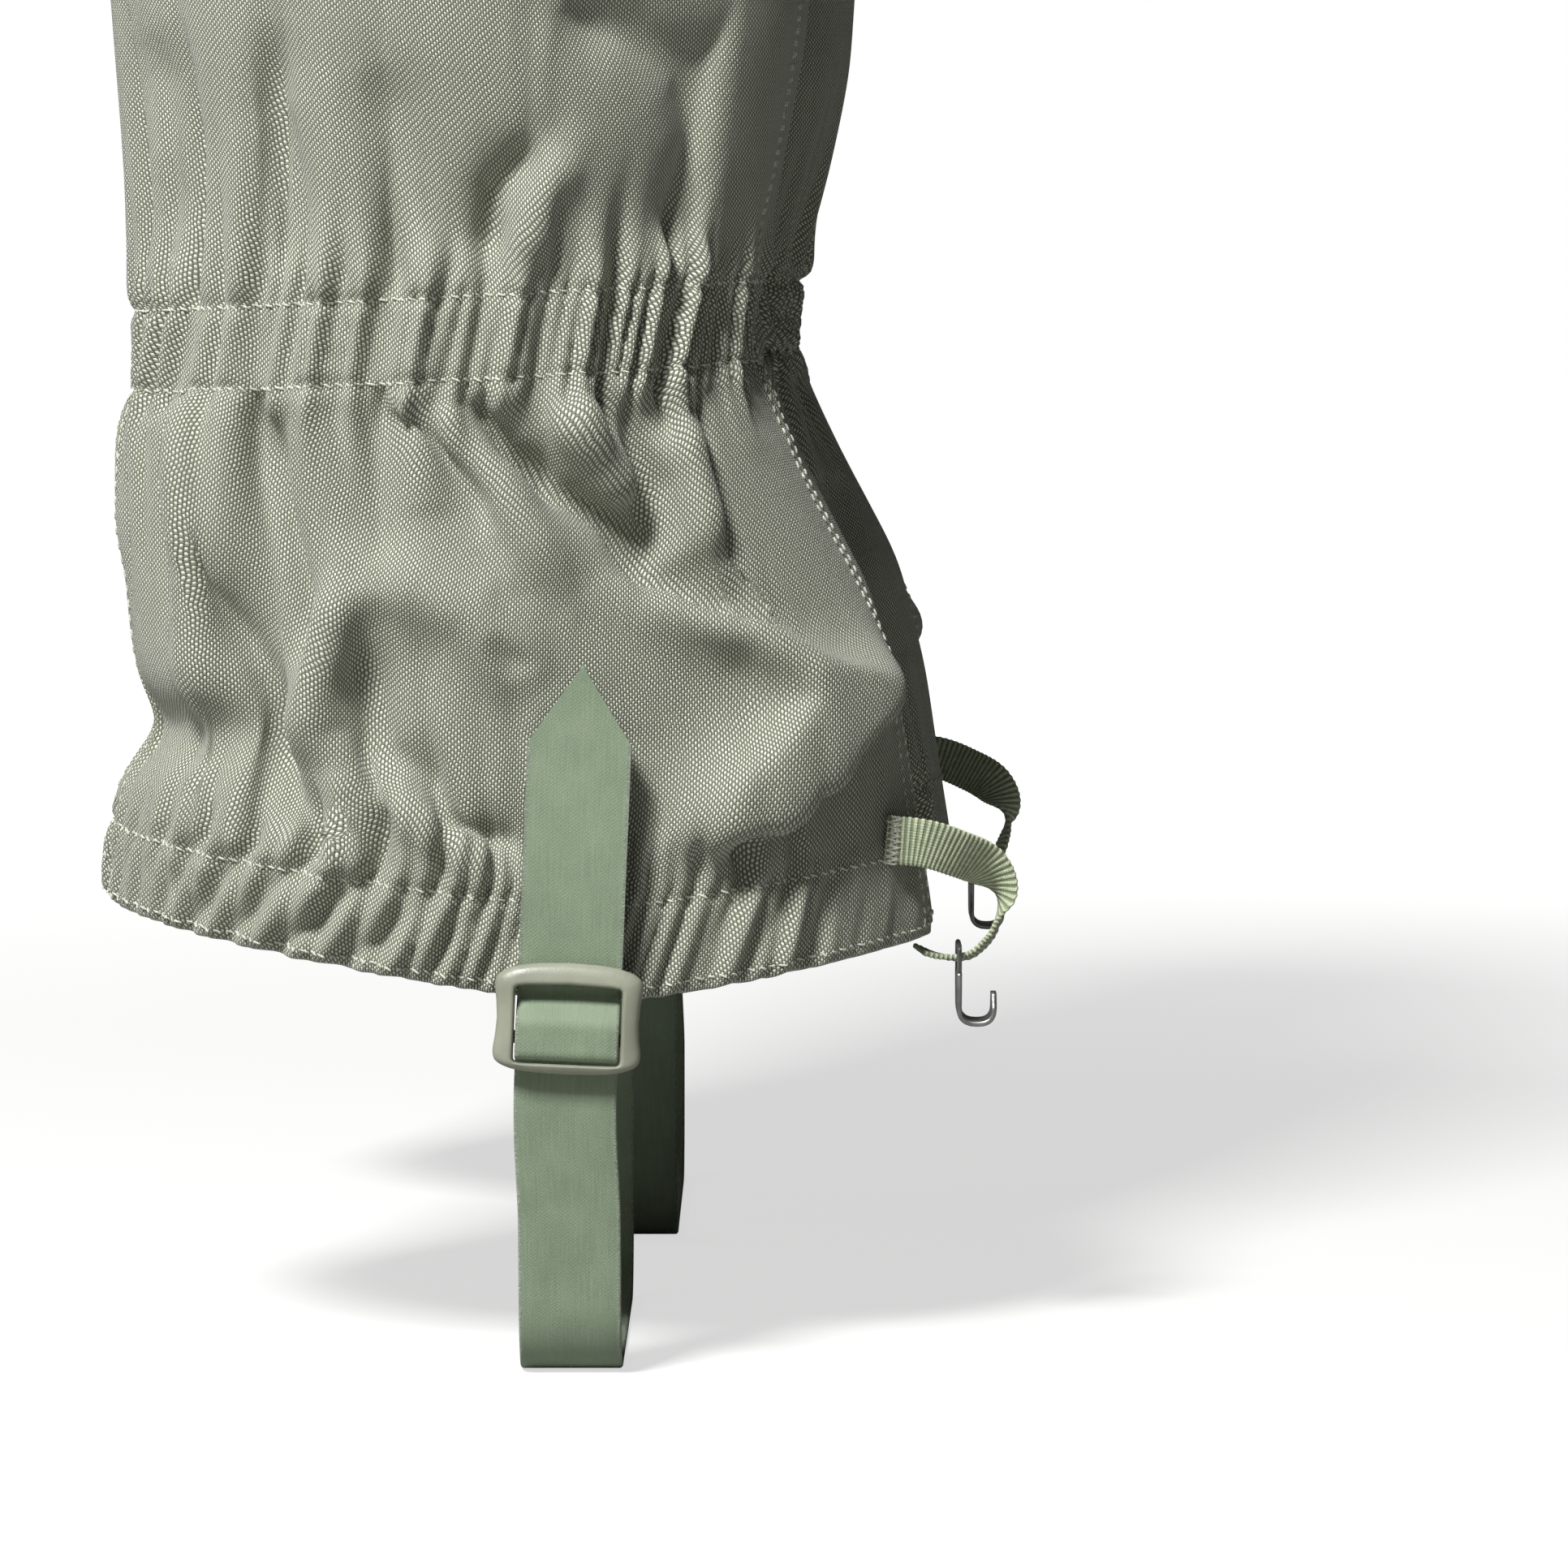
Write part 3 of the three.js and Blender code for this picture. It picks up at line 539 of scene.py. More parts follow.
def pleats(rng, around, heights, seams, front):
    """Rounded pleats with narrow valleys on each gathered band, merging into wider ones away from it."""
    band_reach = 12  # pleats lean this far above and below the band's middle
    seam_reach = 0.9
    total = np.zeros(heights.shape)
    for low, high, strength in GATHERED:
        below = seams[low] - heights
        above = heights - seams[high]
        away = np.maximum(np.maximum(below, above), 0)
        middle = (seams[low] + seams[high]) / 2
        for wave, height, reach in PLEATS:
            bends = wander(rng, around, 2.5 * wave, 0.42 * wave)
            lean = 0.28 + wander(rng, around, 6 * wave, 0.2)
            place = around + bends + lean * np.clip(heights - middle, -band_reach, band_reach)
            phase = math.pi * place / wave * (1 + 0.12 * front)
            rounded_top = 2 * np.abs(np.cos(phase)) ** 0.75 - 1.15
            uneven = np.clip(1 + wander(rng, around, 1.7 * wave, 0.6), 0.15, 1.7)
            length = reach * np.clip(1 + wander(rng, around, 1.3 * wave, 0.5), 0.35, 1.9)
            fade = np.exp(-((away / length) ** 1.6))
            if wave > SMALLEST_PLEAT:
                fade = fade * (0.6 + 0.4 * smoothstep(away, 0, reach * 0.35))
            total += strength * height * uneven * fade * rounded_top
        for seam in (low, high):
            pinch = bell(heights, seams[seam], seam_reach)
            total = total * (1 - 0.5 * pinch) - 0.15 * strength * pinch
    return total


# ---------------------------------------------------------------- the cloth solver


def pull(a, b, rest, strength):
    """Moves each pair of points toward its rest distance. Both arrays are views of the sheet."""
    gap = b - a
    length = np.sqrt(np.einsum("ijk,ijk->ij", gap, gap))
    share = 0.5 * strength * (1 - rest / np.maximum(length, 1e-6))
    move = gap * share[..., None]
    a += move
    b -= move


def pull_across(sheet, rest, strength):
    last = sheet.shape[1]
    for start in (0, 1):
        a = sheet[:, start : last - 1 : 2]
        pull(a, sheet[:, start + 1 : last : 2], rest[:, start::2][:, : a.shape[1]], strength)


def pull_up(sheet, rest, strength):
    last = len(sheet)
    for start in (0, 1):
        a = sheet[start : last - 1 : 2]
        pull(a, sheet[start + 1 : last : 2], rest[start::2][: len(a)], strength)


def pull_slantwise(sheet, rest, strength):
    last = len(sheet)
    for start in (0, 1):
        low, high = sheet[start : last - 1 : 2], sheet[start + 1 : last : 2]
        diagonal = rest[start::2][: len(low)]
        pull(low[:, :-1], high[:, 1:], diagonal, strength)
        pull(low[:, 1:], high[:, :-1], diagonal, strength)


def soften(sheet, strength):
    """Bending: each point moves toward the middle of its neighbours."""
    sheet[:, 1:-1] += strength * (sheet[:, :-2] + sheet[:, 2:] - 2 * sheet[:, 1:-1])
    sheet[1:-1] += strength * (sheet[:-2] + sheet[2:] - 2 * sheet[1:-1])


class Cloth:
    """The gathered sheet of one gaiter. Two coarse grids find its broad folds, the finest adds pleats."""

    LEVELS = ((1, 160), (2, 80))  # fineness and steps of the grids that are relaxed
    PROUD_AT_TOP = 0.8  # pleats stand this proud at the top edge, and more with each mm below it
    PROUD_PER_MM = 0.5
    DEEP_AT_BANDS = 0.8  # how far pleats go in at the gathered bands, over the flap's tape and elsewhere
    DEEP_ON_FLAP = 0.4
    DEEP_BELOW_FOLDS = 1.5

    def __init__(self, leg, form, seed):
        self.leg, self.form = leg, form
        self.seed = seed
        offset = None
        for fineness, steps in self.LEVELS:
            offset = self.settle(fineness, steps, offset)
        self.gather(offset)

    def gather(self, offset):
        """The finest grid: the relaxed one, with the pleats that the elastic gathers along each band."""
        row_marks, angles, heights = flat_grid(self.form, FINEST)
        rows = np.broadcast_to(row_marks[:, None], angles.shape)
        base = self.form.point(angles, heights, lap_depth(angles))
        smooth = base + upsample(offset)
        around = running_length(base, axis=1)
        around -= around[:, BACK : BACK + 1]
        self.uv = np.stack([around, running_length(base)], -1)
        around = np.broadcast_to(around[mark_row(1)], angles.shape)
        seams = {mark: heights[mark_row(mark)] for mark in ROW_MARKS}
        front = smoothstep(np.cos(angles), -0.2, 0.8)
        rise = pleats(np.random.default_rng(self.seed), around, heights, seams, front)
        goal, low, _ = self.limits(rows, angles, heights, around, base)
        reach = np.hypot(smooth[..., 0] - AXIS_X, smooth[..., 1])
        now = reach - np.hypot(base[..., 0] - AXIS_X, base[..., 1])
        behind = behind_leg(angles, 0.4)
        distance, share = along_path(base[..., 0], heights, OVERHANG)
        bulge = (1 - smoothstep(distance, -4, 0)) * (1 - smoothstep(share, 0.8, 1)) * (heights < OVERHANG_TOP)
        rise = rise * (1.05 - 0.25 * behind + 0.15 * front) * (1 - 0.85 * bulge)
        rise = rise * self.loose_share(angles, rows)
        rise = rise + 0.85 * on_outer_side(angles) * (goal - now)
        flap = on_flap(angles)
        banded = (rows <= HEM_ROW) | ((rows >= 1) & (rows <= 2)) | (rows >= TOP_ROW)
        deepest = mixed(flap, low - self.DEEP_BELOW_FOLDS, -self.DEEP_ON_FLAP)
        deepest = np.where(banded, -self.DEEP_AT_BANDS, deepest)
        highest = self.PROUD_AT_TOP + self.PROUD_PER_MM * np.maximum(seams[TOP_ROW] - heights, 0)
        rise = np.clip(rise, deepest - now, np.maximum(highest, deepest) - now)
        normal = unit(np.cross(np.gradient(smooth, axis=1), np.gradient(smooth, axis=0)))
        sheet = smooth + rise[..., None] * normal
        for _ in range(2):
            soften(sheet, 0.08)
        self.make_room(sheet)
        self.sheet = sheet

    @staticmethod
    def loose_share(angles, rows):
        """How freely the cloth gathers. A sewn tape stiffens it, except at the gathered bands."""
        taped = over_tape(angles) * smoothstep(np.abs(rows - 1.5), 0.5, 0.75)
        taped = np.maximum(taped, 1 - smoothstep(angles, 0.16, 0.22))
        under = smoothstep(angles, LAP_START - 0.12, LAP_START + 0.06)
        return (1 - 0.85 * taped) * (1 - under)

    def settle(self, fineness, steps, before):
        """Relaxes one grid. It starts from the coarser grid's offsets and gives its own."""
        row_marks, angles, heights = flat_grid(self.form, fineness)
        rows = np.broadcast_to(row_marks[:, None], angles.shape)
        base = self.form.point(angles, heights, lap_depth(angles))
        step_across = np.linalg.norm(np.diff(base, axis=1), axis=2)
        step_up = np.linalg.norm(np.diff(base, axis=0), axis=2)
        around = np.broadcast_to(running_length(base[len(base) // 2]), angles.shape)
        gather, slack = self.fullness(rows, angles)
        rest_across = step_across * (gather[:, 1:] + gather[:, :-1]) / 2
        rest_up = step_up * (slack[1:] + slack[:-1]) / 2
        diagonal = np.hypot(rest_across[:-1], rest_up[:, :-1])
        goal, low, high = self.limits(rows, angles, heights, around, base)
        way = np.stack([np.cos(angles), np.sin(angles), 0 * angles], -1)
        sheet = base + (goal[..., None] * way if before is None else upsample(before))
        pinned = np.flatnonzero(np.abs(row_marks[:, None] - ROW_MARKS).min(axis=1) < 1e-9)
        hold = 0.10 if before is None else 0.04
        bend = 0.04
        for step in range(steps):
            pull_across(sheet, rest_across, 0.9)
            pull_up(sheet, rest_up, 0.9)
            pull_slantwise(sheet, diagonal, 0.25)
            soften(sheet, bend if step < steps - 12 else bend / 4)
            sheet[pinned, :, 2] = heights[pinned]
            sheet[:, [0, -1]] += 0.5 * (base[:, [0, -1]] - sheet[:, [0, -1]])
            if step % 2 == 0 or step > steps - 4:
                self.confine(sheet, goal, low, high, hold, angles)
        offset = sheet - base
        calm = offset.copy()
        for _ in range(10 * fineness):
            soften(calm, 0.2)
        return calm + self.loose_share(angles, rows)[..., None] * (offset - calm)

    def fullness(self, rows, angles):
        """How much wider and longer the flat cloth is than the form it hangs on, pleats left aside."""
        gather = np.interp(rows, *zip(*FULLNESS))
        heel = bell(angles, math.pi, 0.22) * (1 - smoothstep(rows, 0.15, 0.4))
        flat = np.maximum(smoothstep(angles, LAP_START - 0.15, LAP_START + 0.1), heel)
        flat = np.maximum(flat, over_tape(angles))
        inner_side = 1 - smoothstep(np.sin(angles), -0.3, 0.1)
        gather = 1 + (gather - 1) * (1 - flat) * (1 - 0.6 * inner_side)
        forward = 0.5 + 0.5 * np.cos(angles)
        blouse = window(rows, (HEM_ROW, 0.4), (0.85, 1.0))
        above = window(rows, (2.0, 2.1), (2.5, 2.9))
        slack = 1 + (0.05 + 0.10 * forward) * blouse * (1 - 0.8 * inner_side) + 0.03 * above
        return gather, slack

    def limits(self, rows, angles, heights, around, base):
        """The folds to aim for, and how far the cloth may go in and out from its form."""
        outer_side = on_outer_side(angles)
        free = window(rows, (HEM_ROW, HEM_ROW + 0.12), (0.93, 1.0))
        free = free + window(rows, (2.0, 2.05), (2.86, TOP_ROW))
        goal = set_folds(base[..., 0], heights) * outer_side * free
        upper = smoothstep(heights, *LOOSE_FROM)
        loose = loose_folds(np.random.default_rng(self.seed), around, rows)
        goal = goal + loose * free * (1 - outer_side * (1 - upper))
        goal = goal - 0.6 * free
        behind = behind_leg(angles, 0.55)
        below = (rows < 1).astype(float)
        crease, *place = HEEL_CREASE
        goal = goal - crease * behind * bell(heights, *place) + 1.2 * behind * below * free
        under = smoothstep(angles, LAP_START - 0.05, LAP_START + 0.08)
        flap = on_flap(angles)
        depth = mixed(under, (5.0 + 3.5 * below) * free + 0.9, 0.3)
        depth = mixed(flap, depth, 0.8)
        proud = mixed(under, (4.5 + 4.0 * below) * free + 2.0, 0.3)
        near_seam = smoothstep(np.abs(np.sin(angles)), 0.0, 0.3)
        proud = proud * (0.55 + 0.45 * near_seam)
        proud = proud * (1 - 0.6 * bell(heights, *BAND_HOLD) * np.cos(angles) ** 2)
        goal = goal * (1 - under)
        full = window(heights, FRONT_FULL_FROM, FRONT_FULL_TO)
        full = FRONT_FULL[self.leg.side] * full * (1 - under)
        goal = goal + full * smoothstep(np.cos(angles), 0.3, 0.9)
        return np.clip(goal, -depth, proud + full), -depth, proud + full

    def confine(self, sheet, goal, low, high, hold, angles):
        x, out = sheet[..., 0] - AXIS_X, sheet[..., 1]
        reach = np.hypot(x, out)
        turn = np.arctan2(out, x)
        rest = self.form.radius(turn, sheet[..., 2]) - lap_depth(angles)
        above = reach - rest
        above += hold * (goal - above)
        above = np.clip(above, low, high)
        scale = (rest + above) / reach
        sheet[..., 0] = AXIS_X + x * scale
        sheet[..., 1] = out * scale
        self.make_room(sheet)

    def make_room(self, sheet):
        """The cloth stays below the strap's tail and the patch on the inner side."""
        x, out, z = np.moveaxis(sheet, -1, 0)
        half_width, top = 11.5, 140
        inner, outer = -53.9, 54.9
        away = np.hypot(np.maximum(np.abs(x - STRAP_X) - half_width, 0), np.maximum(z - top, 0))
        sheet[..., 1] = np.clip(out, inner - 0.5 * away, outer + 0.5 * away)


def upsample(offset):
    """The same offsets on a grid of half the spacing."""
    height, width = offset.shape[:2]
    fine = np.zeros((2 * height - 1, 2 * width - 1, 3))
    fine[::2, ::2] = offset
    fine[1::2, ::2] = (offset[1:] + offset[:-1]) / 2
    fine[:, 1::2] = (fine[:, :-1:2] + fine[:, 2::2]) / 2
    return fine


# ---------------------------------------------------------------- pieces cut from the sheet


def inward(points, depth):
    """The same points moved toward the upright axis."""
    way = points[..., :2] - (AXIS_X, 0)
    moved = points.copy()
    moved[..., :2] -= unit(way) * depth
    return moved


def turn_in(points, uv, count, depth):
    """Folds a copy of the grid's first rows round to the inside, as a turned-in hem."""
    layer = inward(points[:count], depth)[::-1]
    edge, beyond = points[0], unit(points[0] - points[1])
    middle = inward(edge, depth / 2)
    rounds = []
    for degrees in (150, 115, 80, 45, 15):
        angle = math.radians(degrees)
        rounds.append(middle + (edge - middle) * math.cos(angle) + beyond * depth * 0.3 * math.sin(angle))
    folded = np.concatenate([layer, rounds, points])
    uv_layer = (2 * uv[:1] - uv[:count])[::-1]
    return folded, np.concatenate([uv_layer, np.repeat(uv[:1], len(rounds), axis=0), uv])


def turn_in_column(points, uv, count, depth):
    """The same along the free edge."""
    folded, folded_uv = turn_in(points.swapaxes(0, 1), uv.swapaxes(0, 1), count, depth)
    return folded.swapaxes(0, 1), folded_uv.swapaxes(0, 1)


def turn_in_top(points, uv, count, depth):
    """The same along the top edge."""
    folded, folded_uv = turn_in(points[::-1], uv[::-1], count, depth)
    return folded[::-1], folded_uv[::-1]


HEM_TURN = 2.5  # how far in the turned hem's inner layer lies
EDGE_TURN = 1.0
EDGE_CELLS = 5  # widths of the turned-in edges, in cells of the finest grid
TOP_CELLS = 8
FLAP_BLEND = (33, 63)  # two x at the flap's root


def cut_sheet(cloth, first, last, name, node_names):
    """One half of the sheet with its turned hem and top, as a mesh piece."""
    points, uv = cloth.sheet[:, first : last + 1], cloth.uv[:, first : last + 1]
    if first == 0:
        points, uv = turn_in_column(points, uv, EDGE_CELLS + 1, EDGE_TURN)
    points, uv = turn_in(points, uv, mark_row(HEM_ROW) + 1, HEM_TURN)
    points, uv = turn_in_top(points, uv, TOP_CELLS, EDGE_TURN)
    faces = grid_faces(*points.shape[:2])
    piece = make_piece(cloth.leg, name, points, faces, "cloth", uv)
    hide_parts(*(f"{cloth.leg.side}_{node}" for node in node_names))
    return piece


def follow_flap(piece, leg):
    """Bakes the piece's placement into its mesh. The two points at the flap's root are found but not used."""
    start, end = (leg.to_world((x, 51, 250)) for x in FLAP_BLEND)
    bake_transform(piece)


def surface(cloth):
    """The sheet's points and outward normals."""
    across = np.gradient(cloth.sheet, axis=1)
    up = np.gradient(cloth.sheet, axis=0)
    return cloth.sheet, unit(np.cross(across, up))


def sample(grid, rows, columns):
    low_row = np.clip(rows.astype(int), 0, grid.shape[0] - 2)
    low_column = np.clip(columns.astype(int), 0, grid.shape[1] - 2)
    up, right = (rows - low_row)[:, None], (columns - low_column)[:, None]
    low = mixed(right, grid[low_row, low_column], grid[low_row, low_column + 1])
    high = mixed(right, grid[low_row + 1, low_column], grid[low_row + 1, low_column + 1])
    return mixed(up, low, high)


def capsule(sides=6):
    """A small stitch of unit length along x, as rings of points and their faces."""
    rings = [(-0.5, 0.0), (-0.42, 0.7), (-0.2, 1.0), (0.2, 1.0), (0.42, 0.7), (0.5, 0.0)]
    points = [[(x, radius * a, radius * b) for a, b in circle(sides)] for x, radius in rings]
    return np.array(points).reshape(-1, 3), grid_faces(len(rings), sides, wrap=True)


THREAD = 0.25  # radius of the sewing thread
THREAD_LIFT = 0.12  # how far its middle lies above the cloth


def stitch_line(cloth, rows, columns, rng, spacing=2.5, length=1.8, slant=22):
    """Stitches along a line of grid places. They lean across the line, as pulled thread does."""
    grid, normals = surface(cloth)
    places = sample(grid, rows, columns)
    away = sample(normals, rows, columns)
    run = running_length(places)
    at = np.arange(spacing / 2, run[-1], spacing)
    centre = at_lengths(at, run, places)
    normal = unit(at_lengths(at, run, away))
    along = unit(at_lengths(at + 0.8, run, places) - centre)
    across = np.cross(normal, along)
    tilt = np.radians(slant + rng.normal(0, 7, len(at)))[:, None]
    way = along * np.cos(tilt) + across * np.sin(tilt)
    side = THREAD * np.cross(normal, way)
    way *= length * rng.uniform(0.85, 1.1, len(at))[:, None]
    axes = np.stack([way, side, THREAD * normal], 1)
    return (centre + THREAD_LIFT * normal)[:, None] + capsule()[0] @ axes


def thread_piece(leg, name, stitches):
    """All stitches of one piece, each given as a capsule's points."""
    faces = np.array(capsule()[1])
    starts = np.arange(len(stitches)) * stitches.shape[1]
    faces = (faces + starts[:, None, None]).reshape(-1, faces.shape[1])
    return make_piece(leg, name, stitches, faces.tolist(), "thread")


def stitching(cloth, first, last, name):
    """The seam threads of one half of the sheet."""
    rng = np.random.default_rng(len(name))
    columns = np.arange(first, last + 1, 0.5)
    rows = np.arange(1, len(cloth.sheet) - 1, 0.5)
    heel_rows = np.arange(0, mark_row(HEM_ROW) + 0.5, 0.5)
    away = -1 if first == 0 else 1  # from the back seam into this half

    def upright(rows, column, **look):
        return stitch_line(cloth, rows, np.full(len(rows), column), rng, **look)

    lines = [stitch_line(cloth, np.full(len(columns), row), columns, rng)
             for row in (1.2, *map(mark_row, (HEM_ROW, 1, 2, TOP_ROW)))]
    if first == 0:
        lines += [upright(rows, column, spacing=2.4, length=1.5, slant=4) for column in (0.9, 3.6)]
    lines.append(upright(heel_rows, BACK + 9 * away, slant=4))
    lines.append(upright(rows, BACK + 1.5 * away, spacing=3.0, slant=3))
    return thread_piece(cloth.leg, name, np.concatenate(lines))


def dress(cloth):
    """Both halves of the sheet and their stitches."""
    leg = cloth.leg
    last = cloth.sheet.shape[1] - 1
    follow_flap(cut_sheet(cloth, 0, BACK, "outer_cloth", ("outer_panel", "front_flap")), leg)
    follow_flap(stitching(cloth, 0, BACK, "outer_stitches"), leg)
    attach(cut_sheet(cloth, BACK, last, "inner_cloth", ("inner_panel",)), f"{leg.side}_gaiter")
    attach(stitching(cloth, BACK, last, "inner_stitches"), f"{leg.side}_gaiter")


# ---------------------------------------------------------------- tapes and elastics


def form_layer(form, start, end, low, high, depth, thickness, wave=0.0):
    """A thin closed layer along the form. start and end are angles, or functions of height."""
    rows = np.linspace(low, high, max(4, round((high - low) * 60)))
    share = np.linspace(0, 1, 160)
    angles = np.zeros((len(rows), len(share)))
    heights = np.zeros_like(angles)
    for place, row in enumerate(rows):
        z = row_height(row, np.zeros(1), form)[0]
        first, last = start(z) if callable(start) else start, end(z) if callable(end) else end
        angles[place] = first + (last - first) * share
        heights[place] = row_height(row, angles[place], form)
    around = angles * 62  # about the form's radius, so that it is a length in mm
    gathers = wave * np.sin(around + 0.7 * np.sin(angles * 9) + heights * 0.05)
    face = form.point(angles, heights, depth + lap_depth(angles) - gathers)
    back = form.point(angles, heights, depth + thickness + lap_depth(angles) - gathers)
    points, faces = slab(face, back)
    uv = np.stack([around, heights], -1)
    return points, faces, np.concatenate([uv.reshape(-1, 2)] * 2)


def sheet_layer(cloth, first, last, depth, thickness):
    """A thin closed layer behind the sheet, from one of its columns to another."""
    inset = 2  # rows that it stays clear of the hem and the top edge
    part = slice(inset, -inset), slice(first, last + 1)
    grid = cloth.sheet[part]
    points, faces = slab(inward(grid, depth), inward(grid, depth + thickness))
    return points, faces, np.concatenate([cloth.uv[part].reshape(-1, 2)] * 2)


def lay(leg, name, shape, material):
    """A layer that stands for the CAD node of the same name."""
    points, faces, uv = shape
    piece = make_piece(leg, f"{name}_cloth", points, faces, material, uv)
    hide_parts(f"{leg.side}_{name}")
    return piece


def tapes(leg, form, cloth):
    def from_edge(distance):
        """An angle that stays this far round from the free edge."""
        def at(z):
            reach = form.radius(np.zeros(1), np.array([float(z)]))[0]
            return math.atan2(EDGE_OUT, reach) + distance / reach
        return at

    root, back, front = math.radians(66), math.pi, math.radians(349)
    lap = 2 * math.pi
    follow_flap(lay(leg, "hook_tape", sheet_layer(cloth, 3, 19, 1.3, 0.8), "hooks"), leg)
    loops = form_layer(form, lambda z: lap + from_edge(3)(z), lambda z: lap + from_edge(20)(z),
                       0.04, 2.96, -1.2, 0.9)
    hem = (0.025, HEM_ROW - 0.02, 1.4, 0.8)
    for name, shape, material in (
        ("loop_tape", loops, "lining"),
        ("ankle_elastic", form_layer(form, root, front, 1.08, 1.92, 1.3, 0.9), "elastic"),
        ("ankle_casing", form_layer(form, root, front, 1.0, 2.0, 2.6, 0.5, wave=0.3), "lining"),
        ("outer_hem_elastic", form_layer(form, root, back - 0.28, *hem), "elastic"),
        ("inner_hem_elastic", form_layer(form, back + 0.28, front, *hem), "elastic"),
    ):
        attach(lay(leg, name, shape, material), f"{leg.side}_gaiter")


def top_casing(leg, form):
    """A puffed, gathered band round the top edge. The drawcord runs inside it."""
    start, end = math.radians(62), math.radians(350)
    angles = np.linspace(start, end, 700)[None]
    share = np.linspace(0, 1, 25)[:, None]
    bottom = row_height(TOP_ROW, angles[0], form) + 0.6
    heights = bottom + share * (TOP + 1.0 - bottom)
    rng = np.random.default_rng(7)
    drift = np.interp(angles, np.linspace(start, end, 90), np.cumsum(rng.normal(0, 0.45, 90)))
    gathers = np.sin(angles * 68 + drift + 1.2 * share) * (0.35 + 0.65 * np.abs(2 * share - 1)) * 0.75
    puff = 0.9 + 3.7 * np.sin(math.pi * share) ** 0.7 + gathers
    ends = window(angles, (start, start + 0.05), (end - 0.05, end))
    puff = 0.9 + (puff - 0.9) * (0.55 + 0.45 * ends)
    face = form.point(angles + 0 * share, heights, -puff)
    back = form.point(angles + 0 * share, heights, -puff + 0.6)
    points, faces = slab(face, back)
    uv = np.stack([angles * 76 + 0 * share, heights], -1).reshape(-1, 2)
    piece = make_piece(leg, "top_casing_cloth", points, faces, "cloth", np.concatenate([uv, uv]))
    stand_for(piece, leg, "top_casing")


# ---------------------------------------------------------------- the instep strap and its buckle

STRAP_WIDTH = 20.0
STRAP = 1.2  # thickness
LEAN = math.radians(2.5)  # the buckle and the strap's tail lean to the toes
STRAP_OUT = 56.0  # the strap hangs this far out from the leg axis on both sides
BUCKLE_Z = 71.0


def sections_along(path, section, widths):
    """The same section at each point of a path, with its own width there."""
    sections = np.repeat(section[None], len(path), axis=0)
    sections[..., 0] *= widths[:, None]
    return sections


def swept_piece(leg, name, centres, across, section, material):
    points, faces = sweep(centres, across, section)
    section = np.broadcast_to(section, (len(centres),) + np.shape(section)[-2:])
    uv = np.stack([section[..., 0], running_length(centres)[:, None] + 0 * section[..., 0]], -1)
    return make_piece(leg, name, points, faces, material, uv)


def strap_path(corners, radius, step):
    """A path across the leg from corners given as (out, z), with the outer end's lean to the toes."""
    path = rounded([(STRAP_X, out, z) for out, z in corners], radius, step)
    out, z = path[:, 1], path[:, 2]
    leaning = smoothstep(z, 30, 60) * (out > 0)
    path[:, 0] += math.tan(LEAN) * (z - BUCKLE_Z) * leaning
    across = np.stack([np.ones(len(path)), 0 * z, -math.sin(LEAN) * leaning], -1)
    return path, across


def instep_strap(leg):
    out = STRAP_OUT
    upper = ((out, 80), (out, 76), (60.6, 70.5), (60.6, 63.8), (out, 63.3), (out, 58), (53, 34))
    lower = ((53, 34), (50.5, 9), (44, STRAP / 2), (-44, STRAP / 2), (-50.5, 9), (-out, 58), (-out, 104))
    top, across_top = strap_path(upper, 1.2, 0.35)
    low, across_low = strap_path(lower, 6, 1.5)
    centres = np.concatenate([top, low[1:]])
    across = np.concatenate([across_top, across_low[1:]])
    piece = swept_piece(leg, "strap", centres, across, band_section(STRAP_WIDTH, STRAP), "strap")
    stand_for(piece, leg, "instep_strap")
    anchor = leg.to_world((STRAP_X, out, 78))
    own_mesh(piece)


def strap_tail(leg):
    tip, point, out = 139.0, 15.0, STRAP_OUT
    path, across = strap_path(((out, 75), (out, tip)), 1, 0.6)
    z = path[:, 2]
    share = (z - z[0]) / (tip - z[0])
    path[:, 1] += 0.45 * np.sin(share * math.pi * 1.7) * smoothstep(z, 82, 96)
    narrow = np.clip((tip - z) / point, 0.015, 1)
    section = band_section(1.0, 0.001, cells=8)
    section = np.stack([section[:, 0] * STRAP_WIDTH, np.sign(section[:, 1]) * STRAP / 2], -1)
    piece = swept_piece(leg, "tail", path, across, sections_along(path, section, narrow), "strap")
    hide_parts(f"{leg.side}_strap_tail")
    start, end = leg.to_world((STRAP_X, out, 76)), leg.to_world((STRAP_X, out, 88))
    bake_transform(piece)


def strap_patch(leg):
    """The square that holds the strap's inner end, with its corners rounded."""
    half, worn, out, middle = 15.0, 0.97, -54.8, 95
    sides = 64
    outline = half * squared(circle(sides), 0.22)
    rings = [(worn, -0.3), (1.0, -0.15), (1.0, 0.15), (worn, 0.3)]
    points = [(STRAP_X + scale * x, out - depth, middle + scale * z)
              for scale, depth in rings for x, z in outline]
    faces = grid_faces(4, sides, wrap=True) + [list(range(sides))[::-1], list(range(3 * sides, 4 * sides))]
    uv = [(scale * x, scale * z) for scale, _ in rings for x, z in outline]
    stand_for(make_piece(leg, "patch", points, faces, "strap", uv), leg, "strap_patch")


BUCKLE_HALF = (15.0, 9.4)
BUCKLE_FRONT = 61.2
REAR_AT_SIDES = 57.3
REAR_AT_BARS = 58.2
WINDOW_HALF = (10.25, 7.45)
WINDOW_Z = -1.05  # the window's middle below the buckle's
BAR_OUT = 57.9  # the bar across the window
BAR_Z = 67.3


